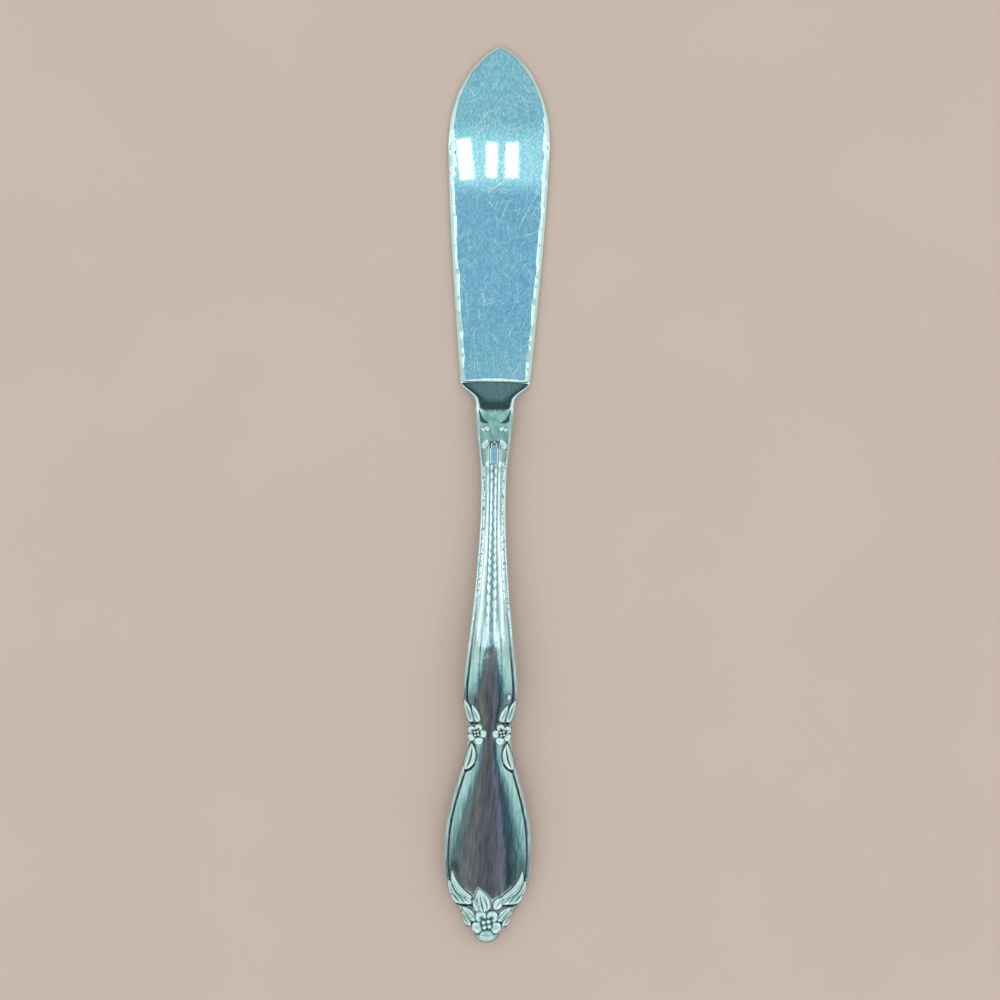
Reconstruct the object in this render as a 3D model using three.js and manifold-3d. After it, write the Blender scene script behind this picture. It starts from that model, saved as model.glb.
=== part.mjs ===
// A hollow-handled butter knife, lying on its back on a table.
// +Y runs from the butt to the tip, +Z is up off the table, and the origin is on the table below mid-length.
// Blade, neck and tang are one forging. The tang is cemented into a handle of two struck half shells, which
// are soldered together along a seam that follows the arch of the handle. All sizes are in millimetres.

import * as THREE from "three";
import { mergeVertices } from "three/addons/utils/BufferGeometryUtils.js";
import Module from "manifold-3d";

const wasm = await Module();
wasm.setup();

// Lengths along the knife. A place whose name ends in _AT is measured from the butt.
const HANDLE_LENGTH = 104;
const NECK_LENGTH = 5.4;
const BLADE_LENGTH = 65.6;
const OGIVE_LENGTH = 20;
const NECK_STRAIGHT = 1.6;
const TEARDROP_AT = 16.7;
const WAIST_AT = 40.8;
const LOBE_AT = 49.5;
const ARCH_AT = 55;
const SHAFT_FROM_MOUTH = 17;

// Widths
const BLADE_WIDTH = 19.8;
const SHOULDER_WIDTH = 13.6;
const NECK_WIDTH = 7.8;
const SHAFT_WIDTH = 5.1;
const LOBE_WIDTH = 10.9;
const WAIST_WIDTH = 8.6;
const TEARDROP_WIDTH = 17.2;
const TEARDROP_END = 13.2;

// Heights. Those of the handle run through both shells, from front to back.
const BLADE_THICKNESS = 1.7;
const BLADE_TIP_THICKNESS = 1.2;
const BLADE_EDGE = 0.5;
const BLADE_BEVEL = 0.95;
const OGIVE_BEVEL = 0.7;
const BEVEL_MOST_SHARE = 0.6;
const BLADE_TIP_FLAT = 0.2;
const SCOOP_DIP = 0.25;
const NECK_HEIGHT = 4.1;
const SHAFT_HEIGHT = 3.8;
const LOBE_HEIGHT = 5.3;
const WAIST_HEIGHT = 4.7;
const TEARDROP_HEIGHT = 5.1;
const BUTT_HEIGHT = 3.5;
const ARCH_RISE = 2.2;
const NECK_LIFT = 0.25;
const SHOULDER_LIFT = 0.1;
const BUTT_LIFT = 0.1;

// The struck face: a raised border round a domed panel, which narrows to a reed between two ridges
const BORDER_WIDTH = 0.75;
const BORDER_DROP_SHARE = 0.16;
const BORDER_FALL = 0.34;
const BORDER_MOST_SHARE = 0.2;
const EDGE_ROUND = 0.4;
const EDGE_MOST_SHARE = 0.55;
const GROOVE_WIDTH = 0.5;
const GROOVE_MOST_SHARE = 0.15;
const GROOVE_DEPTH = 0.25;
const REED_WIDTH = 1.2;
const RIDGE_RISE = 0.2;
const REED_END_FROM_MOUTH = 6.5;
const REED_END_FADE = 3.5;
const PANEL_FULL_AT = 50;
const PANEL_NARROW_AT = 76;

// Places across the band between border and reed, as shares inward: the ridge's foot, top and inner end
const RIDGE_FOOT = 0.5;
const RIDGE_TOP = 0.7;
const RIDGE_END = 0.8;

// Ornament struck on the face. Petals and boss are shares of a flower's radius.
const ORNAMENT_RISE = 0.4;
const ORNAMENT_ROOT = 0.5;
const LEAF_SIDES = 6;
const LEAF_RINGS = 4;
const PETALS = 5;
const PETAL_FROM = 0.18;
const PETAL_TO = 1.02;
const PETAL_WIDTH = 0.9;
const BOSS_RADIUS = 0.25;
const ROSETTE_FROM_WAIST = 0.5;
const ROSETTE_RADIUS = 1.9;
const ROSETTE_INSET = 1.8;
const FLOWER_AT = 3.5;
const FLOWER_RADIUS = 2.7;
const FLOWER_FROM_BUTT = 2.6;
const BUTT_LEAF_AT = 4.6;
const BUTT_LEAF_SPREAD = 9.4;
const BUTT_LEAF_REACH = 2.4;
const BUTT_ROUND = 2;
const BUTT_ROUND_SHARE = 0.85;

// Leaves from base to tip at the right hand, each end [across, along]; a bend bows a leaf to its right.
// At the waist an end is measured from the middle of a rosette.
const WAIST_LEAVES = [
  { base: [0.95, 2.25], tip: [2.35, 6.6], width: 1.4, bend: 0 },
  { base: [-0.3, 2.4], tip: [0.93, 5.7], width: 1.3, bend: 0 },
  { base: [2.02, -7], tip: [0.88, -1.9], width: 1.9, bend: -0.46 },
];
// At the butt it is measured from the end of the knife, on the middle line.
const BUTT_LEAVES = [
  { base: [3.1, 3.6], tip: [4.75, 6.7], width: 1.5, bend: 0.3 },
  { base: [2.2, 4.6], tip: [4.66, 7.45], width: 1.75, bend: 0 },
  { base: [3, 9.1], tip: [6.75, 14.7], width: 1.8, bend: 1.3 },
  { base: [4.3, 8], tip: [7.5, 12.7], width: 1.9, bend: 0.5 },
  { base: [1.5, 7], tip: [3.1, 9.5], width: 1.9, bend: 0 },
];
const CENTRE_LEAF = { base: [0, 6.4], tip: [0, 11.05], width: 3.4, bend: 0 };
// By the neck it is measured from the end of the reeds, on the middle line.
const NECK_LEAVES = [
  { base: [2.2, -1.2], tip: [1.25, 0.7], width: 1.25, bend: 0 },
  { base: [0.95, 2.5], tip: [2.8, 2.8], width: 0.9, bend: 0 },
];

// The inside of the handle
const WALL = 0.6;
const SEAM = 0.12;
const BUTT_SOLID = 8.5;
const CAVITY_NOSE = 5;
const NOSE_ROUND_SHARE = 0.8;
const CAVITY_SIDES = 12;
const CEMENT_GAP = 0.15;
const CEMENT_BESIDE_TANG = 0.85;
const CEMENT_OVER_TANG = 0.55;
const TANG_LENGTH = 42;
const TANG_TIP_SHARE = 0.6;
const TANG_NOTCHES = 3;
const TANG_NOTCH_DEPTH = 0.25;
const TANG_NOTCH_LENGTH = 3;

const SHOULDER_AT = HANDLE_LENGTH + NECK_LENGTH;
const OVERALL_LENGTH = SHOULDER_AT + BLADE_LENGTH;
const BLADE_WIDEST_AT = OVERALL_LENGTH - OGIVE_LENGTH;
const SHAFT_AT = HANDLE_LENGTH - SHAFT_FROM_MOUTH;
const REED_END_AT = HANDLE_LENGTH - REED_END_FROM_MOUTH;
const ROSETTE_AT = WAIST_AT + ROSETTE_FROM_WAIST;
const TANG_WIDTH = SHAFT_WIDTH - 2 * (WALL + CEMENT_BESIDE_TANG);
const TANG_HEIGHT = SHAFT_HEIGHT - 2 * (WALL + CEMENT_OVER_TANG);

// How the curves run: a skew under 1 brings a change early, a power over 2 squares a round off
const NECK_SKEW = 1.3;
const TEARDROP_SKEW = 1.29;
const SHAFT_SKEW = 0.72;
const NECK_ROUND_POWER = 3.2;
const SHOULDER_ROUND_POWER = 5;
const PANEL_DOME_POWER = 2.2;
const REED_CROWN_POWER = 5;
const BLADE_TAPER_POWER = 1.3;
const OGIVE_SWELL_POWER = 2.3;
const OGIVE_POINT_POWER = 0.72;

// The bevel has two facets: how far across they meet, and the share of the drop down to there
const BEVEL_BREAK = 0.55;
const BEVEL_LEAN = 0.32;

// Curves along the knife. s is a place measured from the butt.

const clamp01 = (t) => Math.min(1, Math.max(0, t));
const mix = (a, b, t) => a + (b - a) * t;
const ease = (t) => clamp01(t) ** 2 * (3 - 2 * clamp01(t));
const yAt = (s) => s - OVERALL_LENGTH / 2;

// Evenly spaced places from a to b
const places = (a, b, count) => Array.from({ length: count + 1 }, (_, i) => mix(a, b, i / count));

// An S-curve from value a at place sa to value b at place sb
function swell(s, sa, a, sb, b, skew = 1) {
  return mix(a, b, ease(clamp01((s - sa) / (sb - sa)) ** skew));
}

// Half the width of a rounded end, which is widest at one place and closes at its reach to either side
function roundEnd(s, at, reach, half) {
  return half * Math.sqrt(Math.max(0, 1 - ((s - at) / reach) ** 2));
}

function halfWidth(s) {
  if (s > SHAFT_AT) return swell(s, SHAFT_AT, SHAFT_WIDTH, HANDLE_LENGTH, NECK_WIDTH, NECK_SKEW) / 2;
  if (s > LOBE_AT) return swell(s, LOBE_AT, LOBE_WIDTH, SHAFT_AT, SHAFT_WIDTH, SHAFT_SKEW) / 2;
  if (s > WAIST_AT) return swell(s, WAIST_AT, WAIST_WIDTH, LOBE_AT, LOBE_WIDTH) / 2;
  if (s > TEARDROP_AT) {
    return swell(s, TEARDROP_AT, TEARDROP_WIDTH, WAIST_AT, WAIST_WIDTH, TEARDROP_SKEW) / 2;
  }
  return Math.max(
    roundEnd(s, TEARDROP_AT, TEARDROP_END, TEARDROP_WIDTH / 2),
    roundEnd(s, BUTT_LEAF_AT, BUTT_LEAF_REACH, BUTT_LEAF_SPREAD / 2),
    roundEnd(s, FLOWER_FROM_BUTT, FLOWER_RADIUS, FLOWER_RADIUS),
  );
}

// Half the thickness of the handle, before its end is rounded off
function fullCrown(s) {
  if (s > SHAFT_AT) return swell(s, SHAFT_AT, SHAFT_HEIGHT, HANDLE_LENGTH, NECK_HEIGHT) / 2;
  if (s > LOBE_AT) return swell(s, LOBE_AT, LOBE_HEIGHT, SHAFT_AT, SHAFT_HEIGHT) / 2;
  if (s > WAIST_AT) return swell(s, WAIST_AT, WAIST_HEIGHT, LOBE_AT, LOBE_HEIGHT) / 2;
  if (s > TEARDROP_AT) return swell(s, TEARDROP_AT, TEARDROP_HEIGHT, WAIST_AT, WAIST_HEIGHT) / 2;
  return swell(s, 0, BUTT_HEIGHT, TEARDROP_AT, TEARDROP_HEIGHT) / 2;
}

function crown(s) {
  return fullCrown(s) * Math.sqrt(1 - (BUTT_ROUND_SHARE * (1 - clamp01(s / BUTT_ROUND))) ** 2);
}

// Height of the handle's back above the table
function underside(s) {
  return s > ARCH_AT
    ? swell(s, ARCH_AT, ARCH_RISE, HANDLE_LENGTH, NECK_LIFT)
    : swell(s, BUTT_LEAF_AT, BUTT_LIFT, ARCH_AT, ARCH_RISE);
}

const seamHeight = (s) => underside(s) + fullCrown(s);

// The struck face

// 1 where the face has its border and panel, 0 on the plain end by the neck
const struck = (s) => 1 - ease((s - REED_END_AT) / REED_END_FADE);
// 1 on the reeded shaft, 0 where the panel fills the face
const reeded = (s) => ease((s - PANEL_FULL_AT) / (PANEL_NARROW_AT - PANEL_FULL_AT));
const borderWidth = (s) => Math.min(BORDER_WIDTH, BORDER_MOST_SHARE * halfWidth(s));
const edgeRound = (s) => Math.min(EDGE_ROUND, EDGE_MOST_SHARE * borderWidth(s));
const bandOutside = (s) => halfWidth(s) - borderWidth(s);

function panelHalf(s) {
  const full = bandOutside(s) - Math.min(GROOVE_WIDTH, GROOVE_MOST_SHARE * halfWidth(s));
  return mix(full, Math.min(REED_WIDTH / 2, full), reeded(s));
}

// Share of the full height at a share of the half width, on a plain rounded section
const plainArc = (share, power = NECK_ROUND_POWER) => (1 - clamp01(share) ** power) ** (1 / power);

// Height above the seam of border, band and panel at a distance across from the middle line
function pressedHeight(s, across) {
  const top = crown(s);
  const borderTop = top - Math.min(BORDER_DROP_SHARE * halfWidth(s), 0.5 * top);
  const panel = panelHalf(s);
  const outward = (across - bandOutside(s)) / borderWidth(s);
  if (outward >= 0) return borderTop - BORDER_FALL * outward;
  if (across <= panel) {
    const domed = mix(top, borderTop, (across / panel) ** PANEL_DOME_POWER);
    const reed = top - RIDGE_RISE * (across / panel) ** REED_CROWN_POWER;
    return mix(domed, reed, reeded(s));
  }
  const inward = (bandOutside(s) - across) / (bandOutside(s) - panel);
  const groove = borderTop - GROOVE_DEPTH * Math.sin(Math.PI * inward);
  const channel = mix(borderTop - 0.5 * GROOVE_DEPTH, top - RIDGE_RISE, ease(inward / RIDGE_TOP));
  const rise = RIDGE_RISE * ease((inward - RIDGE_FOOT) / (RIDGE_TOP - RIDGE_FOOT));
  const ridge = inward < RIDGE_END ? rise : -GROOVE_DEPTH;
  return mix(groove, channel + ridge, reeded(s));
}

// The face with its edge rounded down to the seam
function faceHeight(s, across) {
  const depth = clamp01((halfWidth(s) - across) / edgeRound(s));
  const pressed = pressedHeight(s, across) * Math.sqrt(1 - (1 - depth) ** 2);
  return mix(crown(s) * plainArc(across / halfWidth(s)), pressed, struck(s));
}

// Distances across that a section needs points at, from the seam at its edge to the middle line
function acrossStops(s) {
  const half = halfWidth(s);
  const round = edgeRound(s);
  const wall = [0, 45, 90].map((deg) => half - round * (1 - Math.cos(THREE.MathUtils.degToRad(deg))));
  const band = [0, 0.45, 0.7, 0.85].map((share) => mix(bandOutside(s), panelHalf(s), share));
  const panel = [1, 0.7, 0.35, 0].map((share) => panelHalf(s) * share);
  return [...wall, ...band, ...panel];
}

// Solids

function toSolid(geometry) {
  const bare = new THREE.BufferGeometry();
  bare.setAttribute("position", geometry.getAttribute("position"));
  bare.setIndex(geometry.getIndex());
  const merged = mergeVertices(bare, 1e-4);
  const mesh = new wasm.Mesh({
    numProp: 3,
    vertProperties: merged.attributes.position.array,
    triVerts: new Uint32Array(merged.index.array),
  });
  return new wasm.Manifold(mesh);
}

function toGeometry(solid) {
  const { vertProperties, triVerts } = solid.getMesh();
  const geometry = new THREE.BufferGeometry();
  geometry.setAttribute("position", new THREE.BufferAttribute(vertProperties, 3));
  geometry.setIndex(new THREE.BufferAttribute(triVerts, 1));
  return geometry;
}

const joined = (solids) => solids.reduce((sum, solid) => sum.add(solid));

// A closed body through loops of points. Each loop turns anticlockwise seen from the butt.
function loft(loops) {
  const count = loops[0].length;
  const points = loops.flat();
  const index = [];
  for (let a = 0; a < points.length - count; a++) {
    const b = a % count === count - 1 ? a + 1 - count : a + 1;
    index.push(a, a + count, b, b, a + count, b + count);
  }
  const middle = (loop) => loop.reduce((sum, p) => sum.add(p), new THREE.Vector3()).divideScalar(count);
  const lastLoop = points.length - count;
  const first = points.push(middle(loops[0])) - 1;
  const last = points.push(middle(loops.at(-1))) - 1;
  for (let j = 0; j < count; j++) {
    const next = (j + 1) % count;
    index.push(first, j, next, last, lastLoop + next, lastLoop + j);
  }
  return toSolid(new THREE.BufferGeometry().setFromPoints(points).setIndex(index));
}

// A loop from one side's distances across and a height for each: over the front, then back under it
function mirroredLoop(s, stops, middleHeight, height) {
  const arc = [...stops, ...stops.slice(0, -1).reverse().map((x) => -x)];
  const point = (x, side) => new THREE.Vector3(x, yAt(s), middleHeight + side * height(Math.abs(x)));
  const front = arc.map((x) => point(x, 1));
  const back = arc.slice(1, -1).reverse().map((x) => point(x, -1));
  return [...front, ...back];
}

function ellipseLoop(s, halfAcross, halfUp, middleHeight, count) {
  return Array.from({ length: count }, (_, i) => {
    const turn = (i / count) * 2 * Math.PI;
    return new THREE.Vector3(halfAcross * Math.cos(turn), yAt(s), middleHeight + halfUp * Math.sin(turn));
  });
}

// A rectangle with cut corners
function barLoop(s, halfAcross, halfUp, middleHeight) {
  const cut = 0.3 * Math.min(halfAcross, halfUp);
  const [side, top] = [halfAcross - cut, halfUp - cut];
  const corners = [
    [halfAcross, -top], [halfAcross, top], [side, halfUp], [-side, halfUp],
    [-halfAcross, top], [-halfAcross, -top], [-side, -halfUp], [side, -halfUp],
  ];
  return corners.map(([x, z]) => new THREE.Vector3(x, yAt(s), middleHeight + z));
}

// Ornament

// A leaf or petal on the front (side 1) or back (side -1): a long body from base to tip, rooted in the face.
// Both ends are [distance across, place from the butt]; the bend bows its middle to the right.
function leaf({ base, tip, width, bend = 0 }, side) {
  const [x, s] = [mix(base[0], tip[0], 0.5), mix(base[1], tip[1], 0.5)];
  const [across, along] = [tip[0] - base[0], tip[1] - base[1]];
  const shape = new THREE.SphereGeometry(1, LEAF_SIDES, LEAF_RINGS);
  const points = shape.getAttribute("position");
  for (let i = 0; i < points.count; i++) {
    points.setX(i, (points.getX(i) * width) / 2 + bend * (1 - points.getY(i) ** 2));
  }
  shape.scale(1, Math.hypot(across, along) / 2, ORNAMENT_RISE + ORNAMENT_ROOT);
  shape.rotateZ(-Math.atan2(across, along));
  shape.translate(x, yAt(s), seamHeight(s) + side * (faceHeight(s, Math.abs(x)) - ORNAMENT_ROOT));
  return toSolid(shape);
}

// A leaf of a list with its ends moved to a place, and mirrored for the left hand (-1)
function placed({ base, tip, width, bend }, x, s, hand) {
  const moved = ([across, along]) => [hand * (x + across), s + along];
  return { base: moved(base), tip: moved(tip), width, bend: hand * bend };
}

// A flower of even petals round a raised centre. First is the turn of one petal from straight at the butt.
function flower(x, s, radius, first, side) {
  const petals = Array.from({ length: PETALS }, (_, i) => {
    const turn = first + (i / PETALS) * 2 * Math.PI;
    const reach = (share) => [x + share * radius * Math.sin(turn), s - share * radius * Math.cos(turn)];
    return leaf({ base: reach(PETAL_FROM), tip: reach(PETAL_TO), width: PETAL_WIDTH * radius }, side);
  });
  const boss = BOSS_RADIUS * radius;
  const centre = leaf({ base: [x, s - boss], tip: [x, s + boss], width: 2 * boss }, side);
  return joined([...petals, centre]);
}

// Everything at one hand: rosette and leaves at the waist, the spray at the butt and the scrolls by the neck
function atHand(hand, side) {
  const out = WAIST_WIDTH / 2 - ROSETTE_INSET;
  const leaves = [
    ...WAIST_LEAVES.map((one) => placed(one, out, ROSETTE_AT, hand)),
    ...BUTT_LEAVES.map((one) => placed(one, 0, 0, hand)),
    ...NECK_LEAVES.map((one) => placed(one, 0, REED_END_AT, hand)),
  ];
  const rosette = flower(hand * out, ROSETTE_AT, ROSETTE_RADIUS, (-hand * Math.PI) / 2, side);
  return joined([rosette, ...leaves.map((one) => leaf(one, side))]);
}

// All of the ornament on the front (side 1) or back (side -1)
function ornament(side) {
  const blossom = flower(0, FLOWER_AT, FLOWER_RADIUS, 0, side);
  return joined([blossom, leaf(CENTRE_LEAF, side), atHand(1, side), atHand(-1, side)]);
}

// Handle

const STATIONS = [
  ...places(0, FLOWER_AT, 6),
  ...places(FLOWER_AT, BUTT_SOLID, 8).slice(1),
  ...places(BUTT_SOLID, TEARDROP_AT, 5).slice(1),
  ...places(TEARDROP_AT, WAIST_AT, 8).slice(1),
  ...places(WAIST_AT, LOBE_AT, 5).slice(1),
  ...places(LOBE_AT, SHAFT_AT, 9).slice(1),
  ...places(SHAFT_AT, REED_END_AT, 4).slice(1),
  ...places(REED_END_AT, HANDLE_LENGTH, 5).slice(1),
];

function handleBody() {
  const loops = STATIONS.map((s) => mirroredLoop(s, acrossStops(s), seamHeight(s), (x) => faceHeight(s, x)));
  return joined([loft(loops), ornament(1), ornament(-1)]);
}

// The hollow of the handle up to an end place, or with a gap the cement that fills it
function hollow(gap, end) {
  const start = BUTT_SOLID + gap;
  const nose = places(start, start + CAVITY_NOSE, 5);
  const rest = STATIONS.filter((s, i) => i % 2 === 0 && s > start + CAVITY_NOSE && s < end);
  const loops = [...nose, ...rest, end].map((s) => {
    const share = Math.sqrt(1 - (NOSE_ROUND_SHARE * (1 - clamp01((s - start) / CAVITY_NOSE))) ** 2);
    const across = share * (halfWidth(s) - WALL) - gap;
    const up = share * (crown(s) - WALL) - gap;
    return ellipseLoop(s, across, up, seamHeight(s), CAVITY_SIDES);
  });
  return loft(loops);
}

// Everything between two heights above the seam, with a straight run past both ends
function seamLayer(low, high) {
  const past = 5;
  const ends = [[-past, seamHeight(0)], [HANDLE_LENGTH + past, seamHeight(HANDLE_LENGTH)]];
  const run = [ends[0], ...STATIONS.map((s) => [s, seamHeight(s)]), ends[1]];
  const lower = run.map(([s, z]) => new THREE.Vector2(yAt(s), z + low));
  const upper = run.map(([s, z]) => new THREE.Vector2(yAt(s), z + high)).reverse();
  const width = 2 * TEARDROP_WIDTH;
  const outline = new THREE.Shape([...lower, ...upper]);
  const slab = new THREE.ExtrudeGeometry(outline, { depth: width, bevelEnabled: false });
  slab.translate(0, 0, -width / 2);
  const [x, y, z] = [new THREE.Vector3(1, 0, 0), new THREE.Vector3(0, 1, 0), new THREE.Vector3(0, 0, 1)];
  slab.applyMatrix4(new THREE.Matrix4().makeBasis(y, z, x));
  return toSolid(slab);
}

function overTable() {
  const height = 4 * TEARDROP_HEIGHT;
  const box = new THREE.BoxGeometry(2 * TEARDROP_WIDTH, 2 * OVERALL_LENGTH, height);
  return toSolid(box.translate(0, 0, height / 2));
}

// Blade

function bladeHalfWidth(s) {
  const toWidest = clamp01((s - SHOULDER_AT) / (BLADE_WIDEST_AT - SHOULDER_AT));
  const toTip = clamp01((s - BLADE_WIDEST_AT) / OGIVE_LENGTH);
  const taper = mix(SHOULDER_WIDTH, BLADE_WIDTH, 1 - (1 - toWidest) ** BLADE_TAPER_POWER) / 2;
  const ogive = taper * (1 - toTip ** OGIVE_SWELL_POWER) ** OGIVE_POINT_POWER;
  return Math.max(ogive, BLADE_TIP_FLAT / 2);
}

const bladeTop = (s) => mix(BLADE_THICKNESS, BLADE_TIP_THICKNESS, clamp01((s - SHOULDER_AT) / BLADE_LENGTH));

// A flat back on the table, a flat front and a bevel of two facets to each edge
function bladeLoop(s) {
  const half = bladeHalfWidth(s);
  const even = swell(s, BLADE_WIDEST_AT, BLADE_BEVEL, BLADE_WIDEST_AT + OGIVE_LENGTH / 2, OGIVE_BEVEL);
  const bevel = Math.min(even, BEVEL_MOST_SHARE * half);
  const [face, turn] = [half - bevel, half - (1 - BEVEL_BREAK) * bevel];
  const top = bladeTop(s);
  const [edgeLow, edgeHigh] = [(top - BLADE_EDGE) / 2, (top + BLADE_EDGE) / 2];
  const [turnLow, turnHigh] = [BEVEL_LEAN * edgeLow, mix(top, edgeHigh, BEVEL_LEAN)];
  const front = [[half, edgeLow], [half, edgeHigh], [turn, turnHigh], [face, top]];
  const back = [[face, 0], [turn, turnLow]];
  const mirrored = (points) => points.map(([x, z]) => [-x, z]).reverse();
  const outline = [...front, ...mirrored(front), ...mirrored(back), ...back];
  return outline.map(([x, z]) => new THREE.Vector3(x, yAt(s), z));
}

function bladePlate() {
  const straight = places(SHOULDER_AT, BLADE_WIDEST_AT, 10);
  const ogive = places(0, 1, 16).map((t) => mix(BLADE_WIDEST_AT, OVERALL_LENGTH, 1 - (1 - t) ** 2)).slice(1);
  return loft([...straight, ...ogive].map(bladeLoop));
}

// The neck flares from the handle's mouth to the shoulder, and its front scoops down to just under the
// blade's face. It reaches a little way into the blade.
function neck() {
  const overlap = 0.9;
  const shares = [1, 0.97, 0.88, 0.72, 0.5, 0.25, 0];
  const loops = [...places(HANDLE_LENGTH, SHOULDER_AT, 10), SHOULDER_AT + overlap].map((s) => {
    const t = clamp01((s - HANDLE_LENGTH) / NECK_LENGTH);
    const half = swell(s, HANDLE_LENGTH + NECK_STRAIGHT, NECK_WIDTH, SHOULDER_AT, SHOULDER_WIDTH) / 2;
    const top = mix(NECK_LIFT + NECK_HEIGHT, BLADE_THICKNESS - SCOOP_DIP, t ** 2 * (2 - t));
    const bottom = mix(NECK_LIFT, SHOULDER_LIFT, ease(t));
    const power = mix(NECK_ROUND_POWER, SHOULDER_ROUND_POWER, ease(t));
    const stops = shares.map((share) => share * half);
    const height = (x) => ((top - bottom) / 2) * plainArc(x / half, power);
    return mirroredLoop(s, stops, (top + bottom) / 2, height);
  });
  return loft(loops);
}

// The tang tapers into the handle along its arch, notched to hold in the cement. A gap makes its socket.
function tang(gap) {
  const pitch = TANG_LENGTH / (TANG_NOTCHES + 1);
  const loops = places(HANDLE_LENGTH - TANG_LENGTH - gap, HANDLE_LENGTH + 1, 24).map((s) => {
    const inward = HANDLE_LENGTH - s;
    const taper = mix(1, TANG_TIP_SHARE, clamp01(inward / TANG_LENGTH));
    const nearest = Math.min(TANG_NOTCHES, Math.max(1, Math.round(inward / pitch))) * pitch;
    const notch = TANG_NOTCH_DEPTH * ease(1 - Math.abs(inward - nearest) / (TANG_NOTCH_LENGTH / 2));
    const across = (TANG_WIDTH / 2) * taper - notch + gap;
    const up = (TANG_HEIGHT / 2) * taper + gap;
    return barLoop(s, across, up, seamHeight(s));
  });
  return loft(loops);
}

// Pieces

const steel = new THREE.MeshStandardMaterial({ color: 0xb4c4c9, metalness: 1, roughness: 0.25 });
const solder = new THREE.MeshStandardMaterial({ color: 0xc9cbc4, metalness: 1, roughness: 0.4 });
const cement = new THREE.MeshStandardMaterial({ color: 0x8b8378, metalness: 0, roughness: 0.9 });

const knife = new THREE.Group();
knife.name = "butter_knife";

function addPiece(name, solid, material) {
  const piece = new THREE.Mesh(toGeometry(solid), material);
  piece.name = name;
  knife.add(piece);
}

const shells = handleBody().subtract(hollow(0, HANDLE_LENGTH + 1));
const far = 2 * TEARDROP_HEIGHT;
addPiece("blade", joined([bladePlate(), neck(), tang(0)]), steel);
addPiece("handle_front_shell", shells.intersect(seamLayer(SEAM / 2, far)), steel);
addPiece("handle_back_shell", shells.intersect(seamLayer(-far, -SEAM / 2)).intersect(overTable()), steel);
addPiece("seam_solder", shells.intersect(seamLayer(-SEAM / 2, SEAM / 2)), solder);
addPiece("handle_cement", hollow(CEMENT_GAP, HANDLE_LENGTH - CEMENT_GAP).subtract(tang(CEMENT_GAP)), cement);

export default knife;
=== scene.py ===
"""A butter knife lying on a pale table: a ground blade and a struck relief handle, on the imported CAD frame.

Shapes are worked out in millimetres and set in metres in the frame's axes: +Y from the butt to the tip, +Z up
off the table. s is a place along the knife measured from the butt, x a distance across from the middle line.
"""

import math

import bpy
import numpy as np
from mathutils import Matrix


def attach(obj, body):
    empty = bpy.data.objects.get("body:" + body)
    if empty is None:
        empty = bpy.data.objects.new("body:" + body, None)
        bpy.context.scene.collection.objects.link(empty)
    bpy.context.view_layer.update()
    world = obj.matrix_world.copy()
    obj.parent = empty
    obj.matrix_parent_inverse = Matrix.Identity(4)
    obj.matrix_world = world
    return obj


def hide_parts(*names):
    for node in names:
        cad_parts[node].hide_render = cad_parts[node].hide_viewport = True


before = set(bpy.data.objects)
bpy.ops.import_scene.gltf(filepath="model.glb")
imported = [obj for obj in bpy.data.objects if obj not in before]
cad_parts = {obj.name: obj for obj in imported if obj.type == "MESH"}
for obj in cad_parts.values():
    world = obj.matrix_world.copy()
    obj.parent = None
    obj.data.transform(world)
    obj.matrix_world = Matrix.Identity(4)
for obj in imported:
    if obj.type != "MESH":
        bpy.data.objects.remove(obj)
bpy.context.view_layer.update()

MM = 0.001

# Lengths along the knife. A place whose name ends in _AT is measured from the butt.
HANDLE_LENGTH = 104.0
NECK_LENGTH = 5.4
BLADE_LENGTH = 65.6
OGIVE_LENGTH = 20.0
NECK_STRAIGHT = 1.6
TEARDROP_AT = 16.7
WAIST_AT = 40.8
LOBE_AT = 49.5
ARCH_AT = 55.0
SHAFT_FROM_MOUTH = 17.0

# Widths
BLADE_WIDTH = 19.8
SHOULDER_WIDTH = 13.6
NECK_WIDTH = 7.8
SHAFT_WIDTH = 5.1
LOBE_WIDTH = 10.9
WAIST_WIDTH = 8.6
TEARDROP_WIDTH = 17.2
TEARDROP_END = 13.2

# Heights. Those of the handle run through both shells, from front to back.
BLADE_THICKNESS = 1.7
BLADE_TIP_THICKNESS = 1.2
BLADE_EDGE = 0.5
BLADE_BEVEL = 0.95
OGIVE_BEVEL = 0.6
BLADE_TIP_FLAT = 0.2
NECK_HEIGHT = 4.1
SHAFT_HEIGHT = 3.8
LOBE_HEIGHT = 5.3
WAIST_HEIGHT = 4.7
TEARDROP_HEIGHT = 5.1
BUTT_HEIGHT = 3.5
ARCH_RISE = 2.2
NECK_LIFT = 0.25
BUTT_LIFT = 0.1

# The struck face: a raised border round a domed panel, which narrows to a reed between two ridges
BORDER_WIDTH = 0.75
BORDER_DROP_SHARE = 0.16
BORDER_DROP_MOST = 0.5
BORDER_FALL = 0.34
BORDER_MOST_SHARE = 0.2
EDGE_ROUND = 0.4
EDGE_MOST_SHARE = 0.55
GROOVE_WIDTH = 0.5
GROOVE_MOST_SHARE = 0.15
GROOVE_DEPTH = 0.25
REED_END_FROM_MOUTH = 6.5
REED_END_FADE = 3.5
REED_SLOPE_FROM = 4.1
REED_SLOPE_TO = 0.6
REED_END_SINK = 0.12
REED_END_FLAT = 0.8
MOUTH_ROUND = 1.5
MOUTH_FALL = 0.17
PANEL_FULL_AT = 51.0
PANEL_NARROW_AT = 69.0
WAIST_DROP_SHARE = 0.08
WAIST_DROP_REACH = 7.0

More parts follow.
